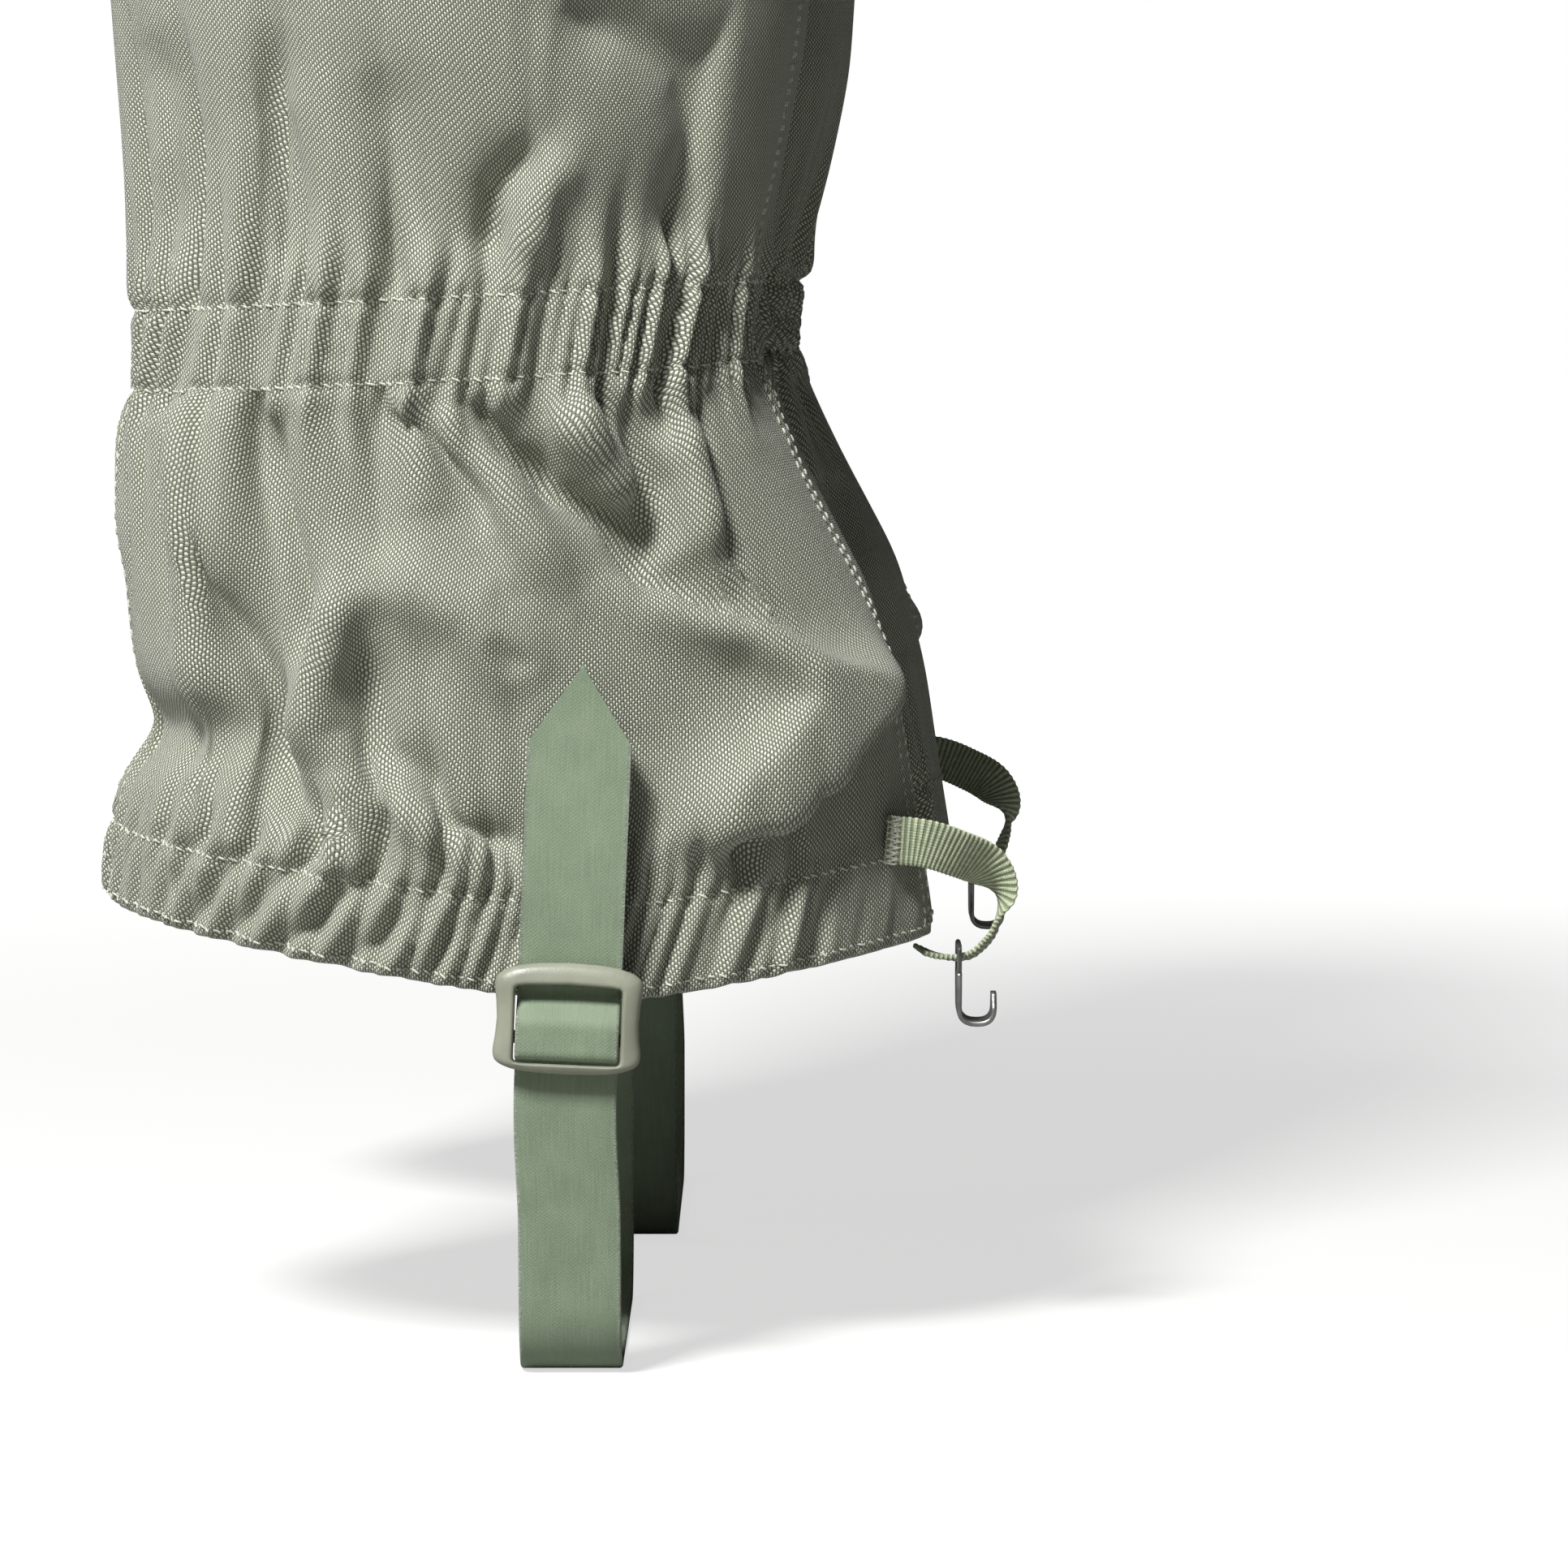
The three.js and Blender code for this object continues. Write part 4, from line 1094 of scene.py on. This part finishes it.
def buckle_outlines(turn):
    """The buckle's outline and its window's, as (x, z) about its middle at each point of a turn."""
    cos, sin = turn.T
    x, z = BUCKLE_HALF[0] * squared(cos, 0.34), BUCKLE_HALF[1] * squared(sin, 0.34)
    waist = 0.09 * np.clip(1 - (z / 8.0) ** 2, 0, 1)
    bow = np.where(sin > 0, 1.7, 1.1) * np.clip(1 - (x / BUCKLE_HALF[0]) ** 2, 0, 1)
    outer = np.stack([x * (1 - waist), z + np.sign(sin) * bow], -1)
    x, z = WINDOW_HALF[0] * squared(cos, 0.1), WINDOW_Z + WINDOW_HALF[1] * squared(sin, 0.1)
    z += 0.5 * np.clip(1 - (x / 10.5) ** 2, 0, 1) * (sin > 0)
    return outer, np.stack([x, z], -1)


def buckle_frame():
    """A moulded frame with bowed bars and waisted sides. Its bars are set forward to clear the strap."""
    outer, inner = buckle_outlines(circle(120))
    rear = np.where(np.abs(outer[:, 0]) > 11.3, REAR_AT_SIDES, REAR_AT_BARS)
    rings = []
    for cos, sin in circle(20):
        across = 0.5 + 0.5 * squared(cos, 0.62)
        front = BUCKLE_FRONT - 1.1 * across**2 + 0.3 * bell(across, 0.12, 0.1)
        out = (front + rear) / 2 + squared(sin, 0.7) * (front - rear) / 2
        plan = inner + (outer - inner) * across
        rings.append(np.stack([plan[:, 0], out, plan[:, 1]], -1))
    points = np.array(rings).swapaxes(0, 1)
    faces = grid_faces(*points.shape[:2], wrap=True)
    ids = np.arange(points[..., 0].size).reshape(len(points), -1)
    last, first = ids[-1], ids[0]
    faces += np.stack([last, np.roll(last, -1), np.roll(first, -1), first], -1).tolist()
    return points.reshape(-1, 3), [face[::-1] for face in faces]


def buckle(leg):
    points, faces = buckle_frame()
    bar_path = [(x, BAR_OUT, BAR_Z - BUCKLE_Z) for x in np.linspace(-11.5, 11.5, 12)]
    bar = sweep(bar_path, (0, 0, 1), band_section(2.6, 1.4, cells=2))
    points, faces = joined([(points, faces), bar])
    x, out, z = points.T
    points = np.stack([STRAP_X + x * math.cos(LEAN) + z * math.sin(LEAN), out,
                       BUCKLE_Z + z * math.cos(LEAN) - x * math.sin(LEAN)], -1)
    stand_for(make_piece(leg, "buckle_frame", points, faces, "plastic"), leg, "buckle", "buckle")


def buckle_tape(leg):
    """The tape that comes out under the hem and wraps round the buckle's bar."""
    corners = ((46.6, 90), (46.6, 72), (56.4, 69.4), (59.25, 69.25), (59.25, 65.35), (56.55, 65.35),
               (56.55, 68))
    path, across = strap_path(corners, 0.8, 0.3)
    section = ribbed(path, band_section(16, 0.6, cells=10))
    stand_for(swept_piece(leg, "buckle_loop", path, across, section, "webbing"), leg, "buckle_tape")


# ---------------------------------------------------------------- webbing loop and lace hook


def ribbed(path, section, pitch=1.1, depth=0.16):
    """The section at each point of the path, thicker on each rib of the webbing."""
    rib = 0.5 + 0.5 * np.cos(2 * math.pi * running_length(path) / pitch)
    sections = sections_along(path, section, 1 + 0.035 * rib)
    sections[..., 1] += np.sign(sections[..., 1]) * depth * (rib[:, None] - 0.5)
    return sections


def nearest_place(cloth, point):
    grid, normals = surface(cloth)
    flap = grid[:, : BACK // 2]
    row, column = np.unravel_index(np.linalg.norm(flap - point, axis=-1).argmin(), flap.shape[:2])
    return grid[row, column], normals[row, column]


def lace_loop(leg, cloth):
    """Webbing sewn to the flap. It runs forward, turns down and comes back below the hem."""
    place, away = nearest_place(cloth, np.array([87.5, 24.0, 103.0]))
    corners = [place + away * 0.7, (93.5, 22.8, 101.8), (100, 19.6, 99.6), (106, 14.2, 96.3),
               (109.3, 9.8, 90.0), (108, 7.6, 83), (104.5, 7, 78.6), (101, 7, 77.4), (97, 7.6, 77.8),
               (93, 8.6, 79.2)]
    path = spline(corners, 0.26)
    share = np.linspace(0, 1, len(path))[:, None]
    across = mixed(share, np.array([0.12, 0.0, 1.0]), np.array([0, 1.0, 0]))
    section = ribbed(path, band_section(9.5, 1.0, cells=8))
    stand_for(swept_piece(leg, "webbing_loop", path, across, section, "webbing"), leg, "lace_loop", "flap")
    bartack(leg, path, unit(across))


def bartack(leg, path, across):
    """The dense zigzag of thread that holds the webbing's sewn end."""
    rng = np.random.default_rng(3)
    thick = 0.26
    along = unit(path[6] - path[2])
    up = unit(across[4] - (across[4] @ along) * along)
    away = np.cross(up, along)
    if away[1] < 0:
        away = -away
    threads = []
    for place in np.linspace(-4.6, 4.6, 17):
        tilt = math.radians(18 if len(threads) % 2 else -14) + rng.normal(0, 0.06)
        way = along * math.cos(tilt) + up * math.sin(tilt)
        centre = path[4] + up * place + away * 0.66 + along * rng.normal(0.4, 0.25)
        axes = np.stack([rng.uniform(2.4, 3.4) * way, thick * np.cross(away, way), thick * away])
        threads.append(centre + capsule()[0] @ axes)
    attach(thread_piece(leg, "loop_bartack", np.array(threads)), f"{leg.side}_flap")


def lace_hook(leg):
    """A bent steel plate with a slotted head for the webbing and a turned-up tip for the lace."""
    x, out, z = 101.0, 7.0, 77.4
    half, high, low = 5.9, 2.6, -2.6
    corners = ((0, high), (half, high), (half, low), (-half, low), (-half, high), (0, high))
    ring = rounded([(x, out + a, z + b) for a, b in corners], 1.4, 0.4)
    head = sweep(ring, (1, 0, 0), band_section(1.1, 1.2, cells=2), caps=False)
    corners = ((0, low), (0, -13), (7, -13), (7, -7))
    plate = rounded([(x + a, out, z + b) for a, b in corners], 3.4, 0.5)
    share = np.linspace(0, 1, len(plate))
    width = 1 - 0.35 * smoothstep(share, 0.05, 0.45) - 0.25 * smoothstep(share, 0.85, 1.0)
    sections = sections_along(plate, band_section(13, 1.1), width)
    points, faces = joined([head, sweep(plate, (0, 1, 0), sections)])
    stand_for(make_piece(leg, "hook_plate", points, faces, "steel"), leg, "lace_hook", "lace_hook")


# ---------------------------------------------------------------- drawcord and cord lock


def hang_place(leg):
    """Where the cord hangs: its (x, out), the lock's height and the cord's lower end."""
    low, high = leg.box("cord_end")
    lock_low, lock_high = leg.box("cord_lock_body")
    return (low + high)[:2] / 2, (lock_low + lock_high)[2] / 2, high[2] - 3


def drawcord(leg, form):
    (x, out), lock_z, bottom = hang_place(leg)
    level = TOP - 5.0
    leave = math.atan2(out, x - AXIS_X)
    turn = np.linspace(math.radians(338), leave + 0.12, 30)
    inside = form.point(turn, np.full(30, level), -2.3)
    fall = [(x, out - 2.2, level - 4), (x, out - 0.4, level - 11), (x, out, lock_z + 8), (x, out, lock_z),
            (x, out, (lock_z + bottom) / 2), (x, out, bottom)]
    path = spline(np.concatenate([inside, fall]), 0.9)
    sides = 12
    points, faces = tube(path, 1.2, sides)
    uv = np.stack([np.tile(np.arange(sides) / sides, len(path)), np.repeat(running_length(path), sides)], -1)
    stand_for(make_piece(leg, "cord", points, faces, "cord", uv), leg, "drawcord")


def on_lock(leg, points):
    """Places a shape made along +z, the cord crossing it at 10 mm, on the lock's level axis."""
    (x, out), lock_z, _ = hang_place(leg)
    turn = math.radians(18)
    axis = np.array([math.cos(turn), -math.sin(turn), 0])
    side = np.array([math.sin(turn), math.cos(turn), 0])
    up = np.cross(axis, side)
    cord = np.array([0, 0, 10])
    return np.array([x, out, lock_z]) + (points - cord) @ np.stack([side, up, axis])


def lock_part(leg, name, shapes, material, node, body):
    """A piece on the lock's axis, joined from its shapes."""
    points, faces = joined(shapes)
    return stand_for(make_piece(leg, name, on_lock(leg, points), faces, material), leg, node, body)


def cord_lock(leg):
    cup = [(0, 0), (4.6, 0), (5.6, 0.5), (6, 1.5)]
    for groove in (4.0, 5.6, 13.4):
        cup += [(6, groove - 0.5), (5.6, groove), (6, groove + 0.5)]
    cup += [(6, 15.4), (5.6, 16), (4.7, 16), (4.35, 15.6), (4.35, 2.2), (4.0, 1.7), (0, 1.6)]
    ring = np.linspace(0, 2 * math.pi, 33)
    eyelets = []
    for side in (-1, 1):
        path = np.stack([2.0 * np.cos(ring), np.full(33, side * 5.75), 10 + 2.0 * np.sin(ring)], -1)
        eyelets.append(sweep(path, (0, 1, 0), 0.55 * circle(10), caps=False))
    lock_part(leg, "lock_cup", [lathe(cup), *eyelets], "plastic", "cord_lock_body", "cord_lock")
    button = [(0, 6.2), (3.6, 6.2), (4, 6.6), (4, 18.6), (3.8, 19.4), (3.2, 20.0), (1.6, 20.25), (0, 20.3)]
    lock_part(leg, "lock_button", [lathe(button)], "plastic", "cord_lock_plunger", "cord_lock_plunger")
    turns = np.linspace(0, 3, 73)
    angle = turns * 2 * math.pi
    coil = np.stack([2.6 * np.cos(angle), 2.6 * np.sin(angle), 2.1 + 3.4 * turns / 3], -1)
    piece = lock_part(leg, "lock_coil", [tube(coil, 0.3, sides=8)], "steel", "cord_lock_spring", "cord_lock")
    floor, tip = leg.to_world(on_lock(leg, np.array([(0, 0, 1.7), (0, 0, 6.0)])))
    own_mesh(piece)


def cord_end(leg):
    (x, out), _, bottom = hang_place(leg)
    bell = [(0, -6), (2.2, -6), (2.8, -5.6), (3, -4.8), (3, -1), (2.7, 0.5), (2.2, 2.2), (1.7, 3), (1.3, 3.2),
            (0, 3.2)]
    points, faces = lathe(bell, sides=28)
    piece = make_piece(leg, "cord_bell", points + (x, out, bottom + 0.5), faces, "plastic")
    stand_for(piece, leg, "cord_end")


# ---------------------------------------------------------------- materials


def srgb(red, green, blue):
    """A colour given as 0 to 255 in sRGB, as the linear colour that Blender takes."""
    shares = [value / 255 for value in (red, green, blue)]
    linear = [v / 12.92 if v <= 0.04045 else ((v + 0.055) / 1.055) ** 2.4 for v in shares]
    return (*linear, 1.0)


class Shader:
    """A material's node tree, built by plain calls that take and give sockets or numbers."""

    def __init__(self, name):
        self.material = bpy.data.materials.new(name)
        self.material.use_nodes = True
        self.tree = self.material.node_tree
        self.surface = self.tree.nodes["Principled BSDF"]

    def put(self, socket, value):
        if isinstance(value, bpy.types.NodeSocket):
            self.tree.links.new(value, socket)
        else:
            socket.default_value = value

    def add(self, kind, inputs, output=0, **settings):
        node = self.tree.nodes.new(f"ShaderNode{kind}")
        for name, value in settings.items():
            setattr(node, name, value)
        for place, value in inputs.items():
            self.put(node.inputs[place], value)
        return node.outputs[output]

    def math(self, operation, a, b=0.0, c=0.0):
        return self.add("Math", {0: a, 1: b, 2: c}, operation=operation)

    def times(self, a, b):
        return self.math("MULTIPLY", a, b)

    def scaled(self, value, factor, plus):
        return self.math("MULTIPLY_ADD", value, factor, plus)

    def absolute(self, value):
        return self.math("ABSOLUTE", value)

    def wave(self, value, length, kind="SINE"):
        """A wave along a coordinate."""
        return self.math(kind, self.times(value, 2 * math.pi / length))

    def uv(self):
        """The two cloth coordinates in millimetres, and both as one vector."""
        both = self.add("UVMap", {}, uv_map="cloth")
        return self.add("SeparateXYZ", {0: both}), self.add("SeparateXYZ", {0: both}, 1), both

    def vector(self, x, y, z=0.0):
        return self.add("CombineXYZ", {0: x, 1: y, 2: z})

    def noise(self, where, scale, detail=2.0, roughness=0.5):
        inputs = {"Vector": where, "Scale": scale, "Detail": detail, "Roughness": roughness}
        return self.add("TexNoise", inputs)

    def speckle(self, x, y):
        """A random value for each whole cell of x and y."""
        cell = self.vector(self.math("FLOOR", x), self.math("FLOOR", y))
        return self.add("TexWhiteNoise", {"Vector": cell}, noise_dimensions="2D")

    def mix(self, share, a, b):
        """Two colours mixed by a share."""
        node = self.tree.nodes.new("ShaderNodeMix")
        node.data_type = "RGBA"
        for place, value in ((0, share), (6, a), (7, b)):
            self.put(node.inputs[place], value)
        return node.outputs[2]

    def span(self, value, low, high):
        """Where a value lies between two limits, from 0 to 1."""
        return self.add("MapRange", {0: value, 1: low, 2: high}, interpolation_type="SMOOTHSTEP")

    def finish(self, color, roughness, height, depth, **settings):
        """Sets the surface. depth is the bump's full height in millimetres."""
        bump = self.add("Bump", {"Height": height, "Distance": depth * MM, "Strength": 1.0})
        self.put(self.surface.inputs["Base Color"], color)
        self.put(self.surface.inputs["Roughness"], roughness)
        self.put(self.surface.inputs["Normal"], bump)
        for name, value in settings.items():
            self.put(self.surface.inputs[name.replace("_", " ").title()], value)
        return self.material


def woven(name, pitch, gap, weft, warp, depth):
    """Plain weave: pale warp yarns cross over and under duller weft yarns. Where the weave is low, between
    the yarns, the colour is darkened to the gap colour as painted shade.
    """
    shader = Shader(name)
    u, v, both = shader.uv()
    wander = shader.noise(both, 0.25, 1)
    u = shader.scaled(wander, 0.9, u)
    warp_wave = shader.wave(u, 2 * pitch)
    weft_wave = shader.wave(v, 2 * pitch)
    over = shader.times(warp_wave, weft_wave)
    warp_height = shader.times(shader.absolute(warp_wave),
                              shader.scaled(over, 0.5, 0.5))
    weft_height = shader.times(shader.absolute(weft_wave),
                              shader.scaled(over, -0.4, 0.4))
    height = shader.math("MAXIMUM", warp_height, weft_height)
    grain = shader.speckle(shader.math("DIVIDE", u, pitch), shader.math("DIVIDE", v, pitch))
    streak = shader.speckle(shader.math("DIVIDE", u, pitch), shader.math("DIVIDE", v, pitch * 9))
    cloudy = shader.noise(both, 0.04, 3)
    shade = shader.scaled(streak, 0.4, shader.scaled(grain, 0.4, cloudy))
    upper = shader.mix(shader.span(shader.math("SUBTRACT", warp_height, weft_height), -0.1, 0.5), weft, warp)
    # painted shade: the low gaps between the yarns take the dark gap colour
    color = shader.mix(shader.span(height, 0.05, 0.62), gap, upper)
    color = shader.mix(shader.times(shader.span(shade, 0.4, 1.4), 0.35), color, weft)
    roughness = shader.scaled(height, -0.2, 0.85)
    return shader.finish(color, roughness, height, depth, sheen_weight=0.15, sheen_roughness=0.5)


def thread_material():
    shader = Shader("sewing_thread")
    where = shader.add("TexCoord", {}, 3)
    twist = shader.noise(where, 2600, 2)
    color = shader.mix(shader.span(twist, 0.3, 0.7), srgb(160, 162, 145), srgb(226, 227, 214))
    return shader.finish(color, 0.7, twist, 0.06, sheen_weight=0.3)


def elastic_material():
    """Woven elastic: dark ribs along its length with a pale rubber line between them."""
    shader = Shader("elastic")
    u, v, both = shader.uv()
    rib = shader.absolute(shader.wave(v, 2.6))
    cross = shader.absolute(shader.wave(u, 1.4))
    height = shader.times(rib, shader.scaled(cross, 0.4, 0.6))
    mottle = shader.noise(both, 0.8)
    color = shader.mix(shader.span(height, 0.05, 0.7), srgb(118, 116, 100), srgb(52, 54, 46))
    color = shader.mix(shader.times(mottle, 0.4), color, srgb(88, 88, 76))
    return shader.finish(color, shader.scaled(mottle, 0.2, 0.65), height, 0.2)


def strap_material():
    """Coated strap: its yarns show faintly through the coating, and pale fibres fray along both edges."""
    shader = Shader("coated_strap")
    u, v, both = shader.uv()
    long_yarn = shader.wave(u, 0.9)
    cross_yarn = shader.wave(v, 0.7)
    weave = shader.times(long_yarn, cross_yarn)
    lines = shader.noise(shader.vector(shader.times(u, 5.0), shader.times(v, 0.12)), 0.8, 3)
    grain = shader.noise(both, 6.0, 3, 0.7)
    cloudy = shader.noise(both, 0.09, 2)
    shade = shader.scaled(cloudy, 0.5, shader.times(lines, 0.5))
    color = shader.mix(shader.span(shade, 0.3, 0.7), srgb(122, 138, 113), srgb(138, 154, 128))
    color = shader.mix(shader.times(shader.span(grain, 0.55, 0.75), 0.35), color, srgb(170, 182, 158))
    edge = shader.span(shader.absolute(u), 8.9, 9.8)
    fibre = shader.noise(shader.vector(shader.times(u, 1.0), shader.times(v, 4.0)), 1.3, 3, 0.8)
    fray = shader.times(edge, shader.span(fibre, 0.42, 0.62))
    color = shader.mix(shader.times(fray, 0.8), color, srgb(206, 212, 196))
    height = shader.scaled(weave, 0.16, shader.scaled(lines, 0.5, grain))
    height = shader.scaled(fray, 1.2, height)
    roughness = shader.scaled(shade, 0.25, 0.45)
    return shader.finish(color, roughness, height, 0.10, sheen_weight=0.1)


def webbing_material():
    """Grosgrain: each rib's crest is painted lighter and its valley darker, as painted light and shade, and
    the yarns that cross it show as fine lines of painted shade between them.
    """
    shader = Shader("ribbed_webbing")
    u, v, both = shader.uv()
    rib = shader.wave(v, 1.1, "COSINE")
    yarn = shader.absolute(shader.wave(u, 1.1))
    grain = shader.speckle(shader.math("DIVIDE", u, 0.55), shader.math("DIVIDE", v, 1.1))
    crest = shader.span(rib, -0.7, 0.6)
    color = shader.mix(shader.times(grain, 0.7), srgb(184, 196, 160), srgb(226, 233, 204))
    # painted light and shade: the rib crests lighter, the valleys between them darker
    color = shader.mix(shader.scaled(crest, 0.8, 0.2), srgb(112, 122, 92), color)
    # painted shade in the grooves between the crossing yarns
    color = shader.mix(shader.scaled(yarn, 0.45, 0.55), srgb(128, 138, 106), color)
    mottle = shader.noise(both, 0.5)
    height = shader.scaled(yarn, 0.4, crest)
    return shader.finish(color, shader.scaled(mottle, 0.2, 0.7), height, 0.14, sheen_weight=0.2)


def cord_material():
    """Braided cord: two sets of strands cross round it."""
    shader = Shader("braided_cord")
    u, v, _ = shader.uv()
    right = shader.scaled(u, 4.0, shader.math("DIVIDE", v, 1.7))
    left = shader.scaled(u, -4.0, shader.math("DIVIDE", v, 1.7))
    braid = shader.times(shader.wave(right, 1),
                        shader.wave(left, 1))
    grain = shader.speckle(shader.times(right, 2.0), shader.times(left, 2.0))
    color = shader.mix(shader.span(braid, -0.6, 0.5), srgb(54, 56, 46), srgb(112, 114, 98))
    color = shader.mix(shader.times(shader.span(grain, 0.7, 0.9), 0.6), color, srgb(168, 172, 150))
    return shader.finish(color, 0.75, braid, 0.15, sheen_weight=0.2)


def hook_material():
    """The hook side of the closure: close rows of tiny stiff hooks."""
    shader = Shader("hook_side")
    u, v, both = shader.uv()
    across = shader.wave(u, 1.4)
    up = shader.wave(v, 1.1)
    hooks = shader.span(shader.times(across, up), 0.1, 0.7)
    mottle = shader.noise(both, 1.2)
    color = shader.mix(hooks, srgb(46, 48, 40), srgb(98, 100, 86))
    return shader.finish(color, shader.scaled(mottle, 0.2, 0.35), hooks, 0.5)


def plastic_material():
    """Moulded plastic: fine spark texture, rubbed paler in patches along its edges."""
    shader = Shader("moulded_plastic")
    where = shader.add("TexCoord", {}, 3)
    grain = shader.noise(where, 2200, 2)
    cloudy = shader.noise(where, 70, 3)
    scuffs = shader.noise(where, 420, 4, 0.75)
    point = shader.add("NewGeometry", {}, 7)
    worn = shader.times(shader.span(point, 0.52, 0.60), shader.span(scuffs, 0.4, 0.62))
    color = shader.mix(shader.span(cloudy, 0.3, 0.7), srgb(136, 139, 122), srgb(156, 158, 141))
    color = shader.mix(shader.times(worn, 0.7), color, srgb(190, 192, 177))
    roughness = shader.scaled(shader.span(scuffs, 0.35, 0.75), 0.2, 0.3)
    return shader.finish(color, roughness, grain, 0.03)


def steel_material():
    """Stamped steel with a dull plated finish and a fine brushed grain, and a painted highlight along its
    convex edges.
    """
    shader = Shader("plated_steel")
    where = shader.add("TexCoord", {}, 3)
    brushed = shader.noise(shader.add("Mapping", {"Vector": where, "Scale": (3000, 3000, 160)}), 1.0, 3, 0.7)
    cloudy = shader.noise(where, 200, 3)
    point = shader.add("NewGeometry", {}, 7)
    color = shader.mix(shader.span(cloudy, 0.3, 0.7), srgb(122, 123, 120), srgb(160, 161, 158))
    # painted highlight: the convex edges are lightened toward near-white
    color = shader.mix(shader.times(shader.span(point, 0.52, 0.62), 0.5), color, srgb(205, 205, 200))
    roughness = shader.scaled(brushed, 0.3, 0.28)
    return shader.finish(color, roughness, brushed, 0.012, metallic=0.9)


MATERIALS = {
    # the first colour of each weave is the painted shade in the gaps between its yarns
    "cloth": woven("melange_cloth", YARN, srgb(44, 46, 35), srgb(122, 125, 107), srgb(230, 233, 216), 0.15),
    "lining": woven("dark_lining", 0.42, srgb(44, 46, 38), srgb(84, 86, 74), srgb(124, 126, 110), 0.08),
    "thread": thread_material(),
    "elastic": elastic_material(),
    "strap": strap_material(),
    "webbing": webbing_material(),
    "cord": cord_material(),
    "hooks": hook_material(),
    "plastic": plastic_material(),
    "steel": steel_material(),
}
SLOTS = {name: name for name in ("cloth", "lining", "elastic", "strap", "webbing", "plastic", "steel")}
SLOTS |= {"thread": "cloth", "cord": "elastic", "hooks": "lining"}


# ---------------------------------------------------------------- the pair


def build_gaiter(side, seed):
    leg = Leg(side)
    form = Form(leg)
    cloth = Cloth(leg, form, seed)
    dress(cloth)
    tapes(leg, form, cloth)
    top_casing(leg, form)
    instep_strap(leg)
    strap_tail(leg)
    strap_patch(leg)
    buckle(leg)
    buckle_tape(leg)
    lace_loop(leg, cloth)
    lace_hook(leg)
    drawcord(leg, form)
    cord_lock(leg)
    cord_end(leg)


# ---------------------------------------------------------------- floor, light and camera


def camera_only(shader, color, strength):
    """Makes a material glow for the camera without lighting anything."""
    seen = shader.add("LightPath", {}, 0)
    shader.put(shader.surface.inputs["Emission Color"], color)
    shader.put(shader.surface.inputs["Emission Strength"], shader.times(seen, strength))


def stage_floor():
    mesh = bpy.data.meshes.new("floor")
    mesh.from_pydata([(-9, -9, 0), (9, -9, 0), (9, 9, 0), (-9, 9, 0)], [], [[0, 1, 2, 3]])
    shader = Shader("pale_floor")
    shader.put(shader.surface.inputs["Base Color"], srgb(160, 160, 158))
    shader.put(shader.surface.inputs["Roughness"], 0.85)
    place = shader.add("NewGeometry", {}, 0)
    distance = shader.add("VectorMath", {0: place}, 1, operation="LENGTH")
    camera_only(shader, (1.0, 1.0, 1.0, 1.0), shader.scaled(shader.span(distance, 0.3, 1.5), 0.36, 0.64))
    mesh.materials.append(shader.material)
    floor = bpy.data.objects.new("floor", mesh)
    bpy.context.scene.collection.objects.link(floor)


def soft_light(name, place, target, size, power):
    light = bpy.data.lights.new(name, "AREA")
    light.size = size
    light.energy = power
    lamp = bpy.data.objects.new(name, light)
    lamp.location = place
    lamp.rotation_euler = (Vector(target) - Vector(place)).to_track_quat("-Z", "Y").to_euler()
    bpy.context.scene.collection.objects.link(lamp)


def set_world():
    """White behind the object. What lights it is dim and comes mostly from the heel side."""
    world = bpy.data.worlds.new("studio")
    world.use_nodes = True
    tree = world.node_tree
    background = tree.nodes["Background"].inputs
    place = tree.nodes.new("ShaderNodeTexCoord")
    axes = tree.nodes.new("ShaderNodeSeparateXYZ")
    span = tree.nodes.new("ShaderNodeMapRange")
    seen = tree.nodes.new("ShaderNodeLightPath")
    strongest = tree.nodes.new("ShaderNodeMath")
    strongest.operation = "MAXIMUM"
    for socket, value in zip(span.inputs[1:5], (-0.9, 0.5, 0.14, 0.03)):
        socket.default_value = value
    for output, entry in (
        (place.outputs["Generated"], axes.inputs[0]),
        (axes.outputs["X"], span.inputs[0]),
        (span.outputs[0], strongest.inputs[0]),
        (seen.outputs["Is Camera Ray"], strongest.inputs[1]),
        (strongest.outputs[0], background["Strength"]),
    ):
        tree.links.new(output, entry)
    background["Color"].default_value = (1.0, 1.0, 1.0, 1.0)
    bpy.context.scene.world = world
    bpy.context.scene.view_settings.view_transform = "Standard"


def set_camera():
    data = bpy.data.cameras.new("camera")
    data.lens = 4 * data.sensor_width
    camera = bpy.data.objects.new("camera", data)
    camera.location = (0.0459, -1.341, 0.216)
    looks_down = 4.75
    camera.rotation_euler = (math.radians(90 - looks_down), 0, 0)
    bpy.context.scene.collection.objects.link(camera)
    bpy.context.scene.camera = camera


build_gaiter("right", seed=11)
build_gaiter("left", seed=29)
stage_floor()
soft_light("key", (-0.72, -1.5, 1.9), (0, 0, 0.2), 0.5, 86)
soft_light("side", (-1.7, 0.1, 0.9), (0, 0, 0.2), 0.8, 2)
set_world()
set_camera()
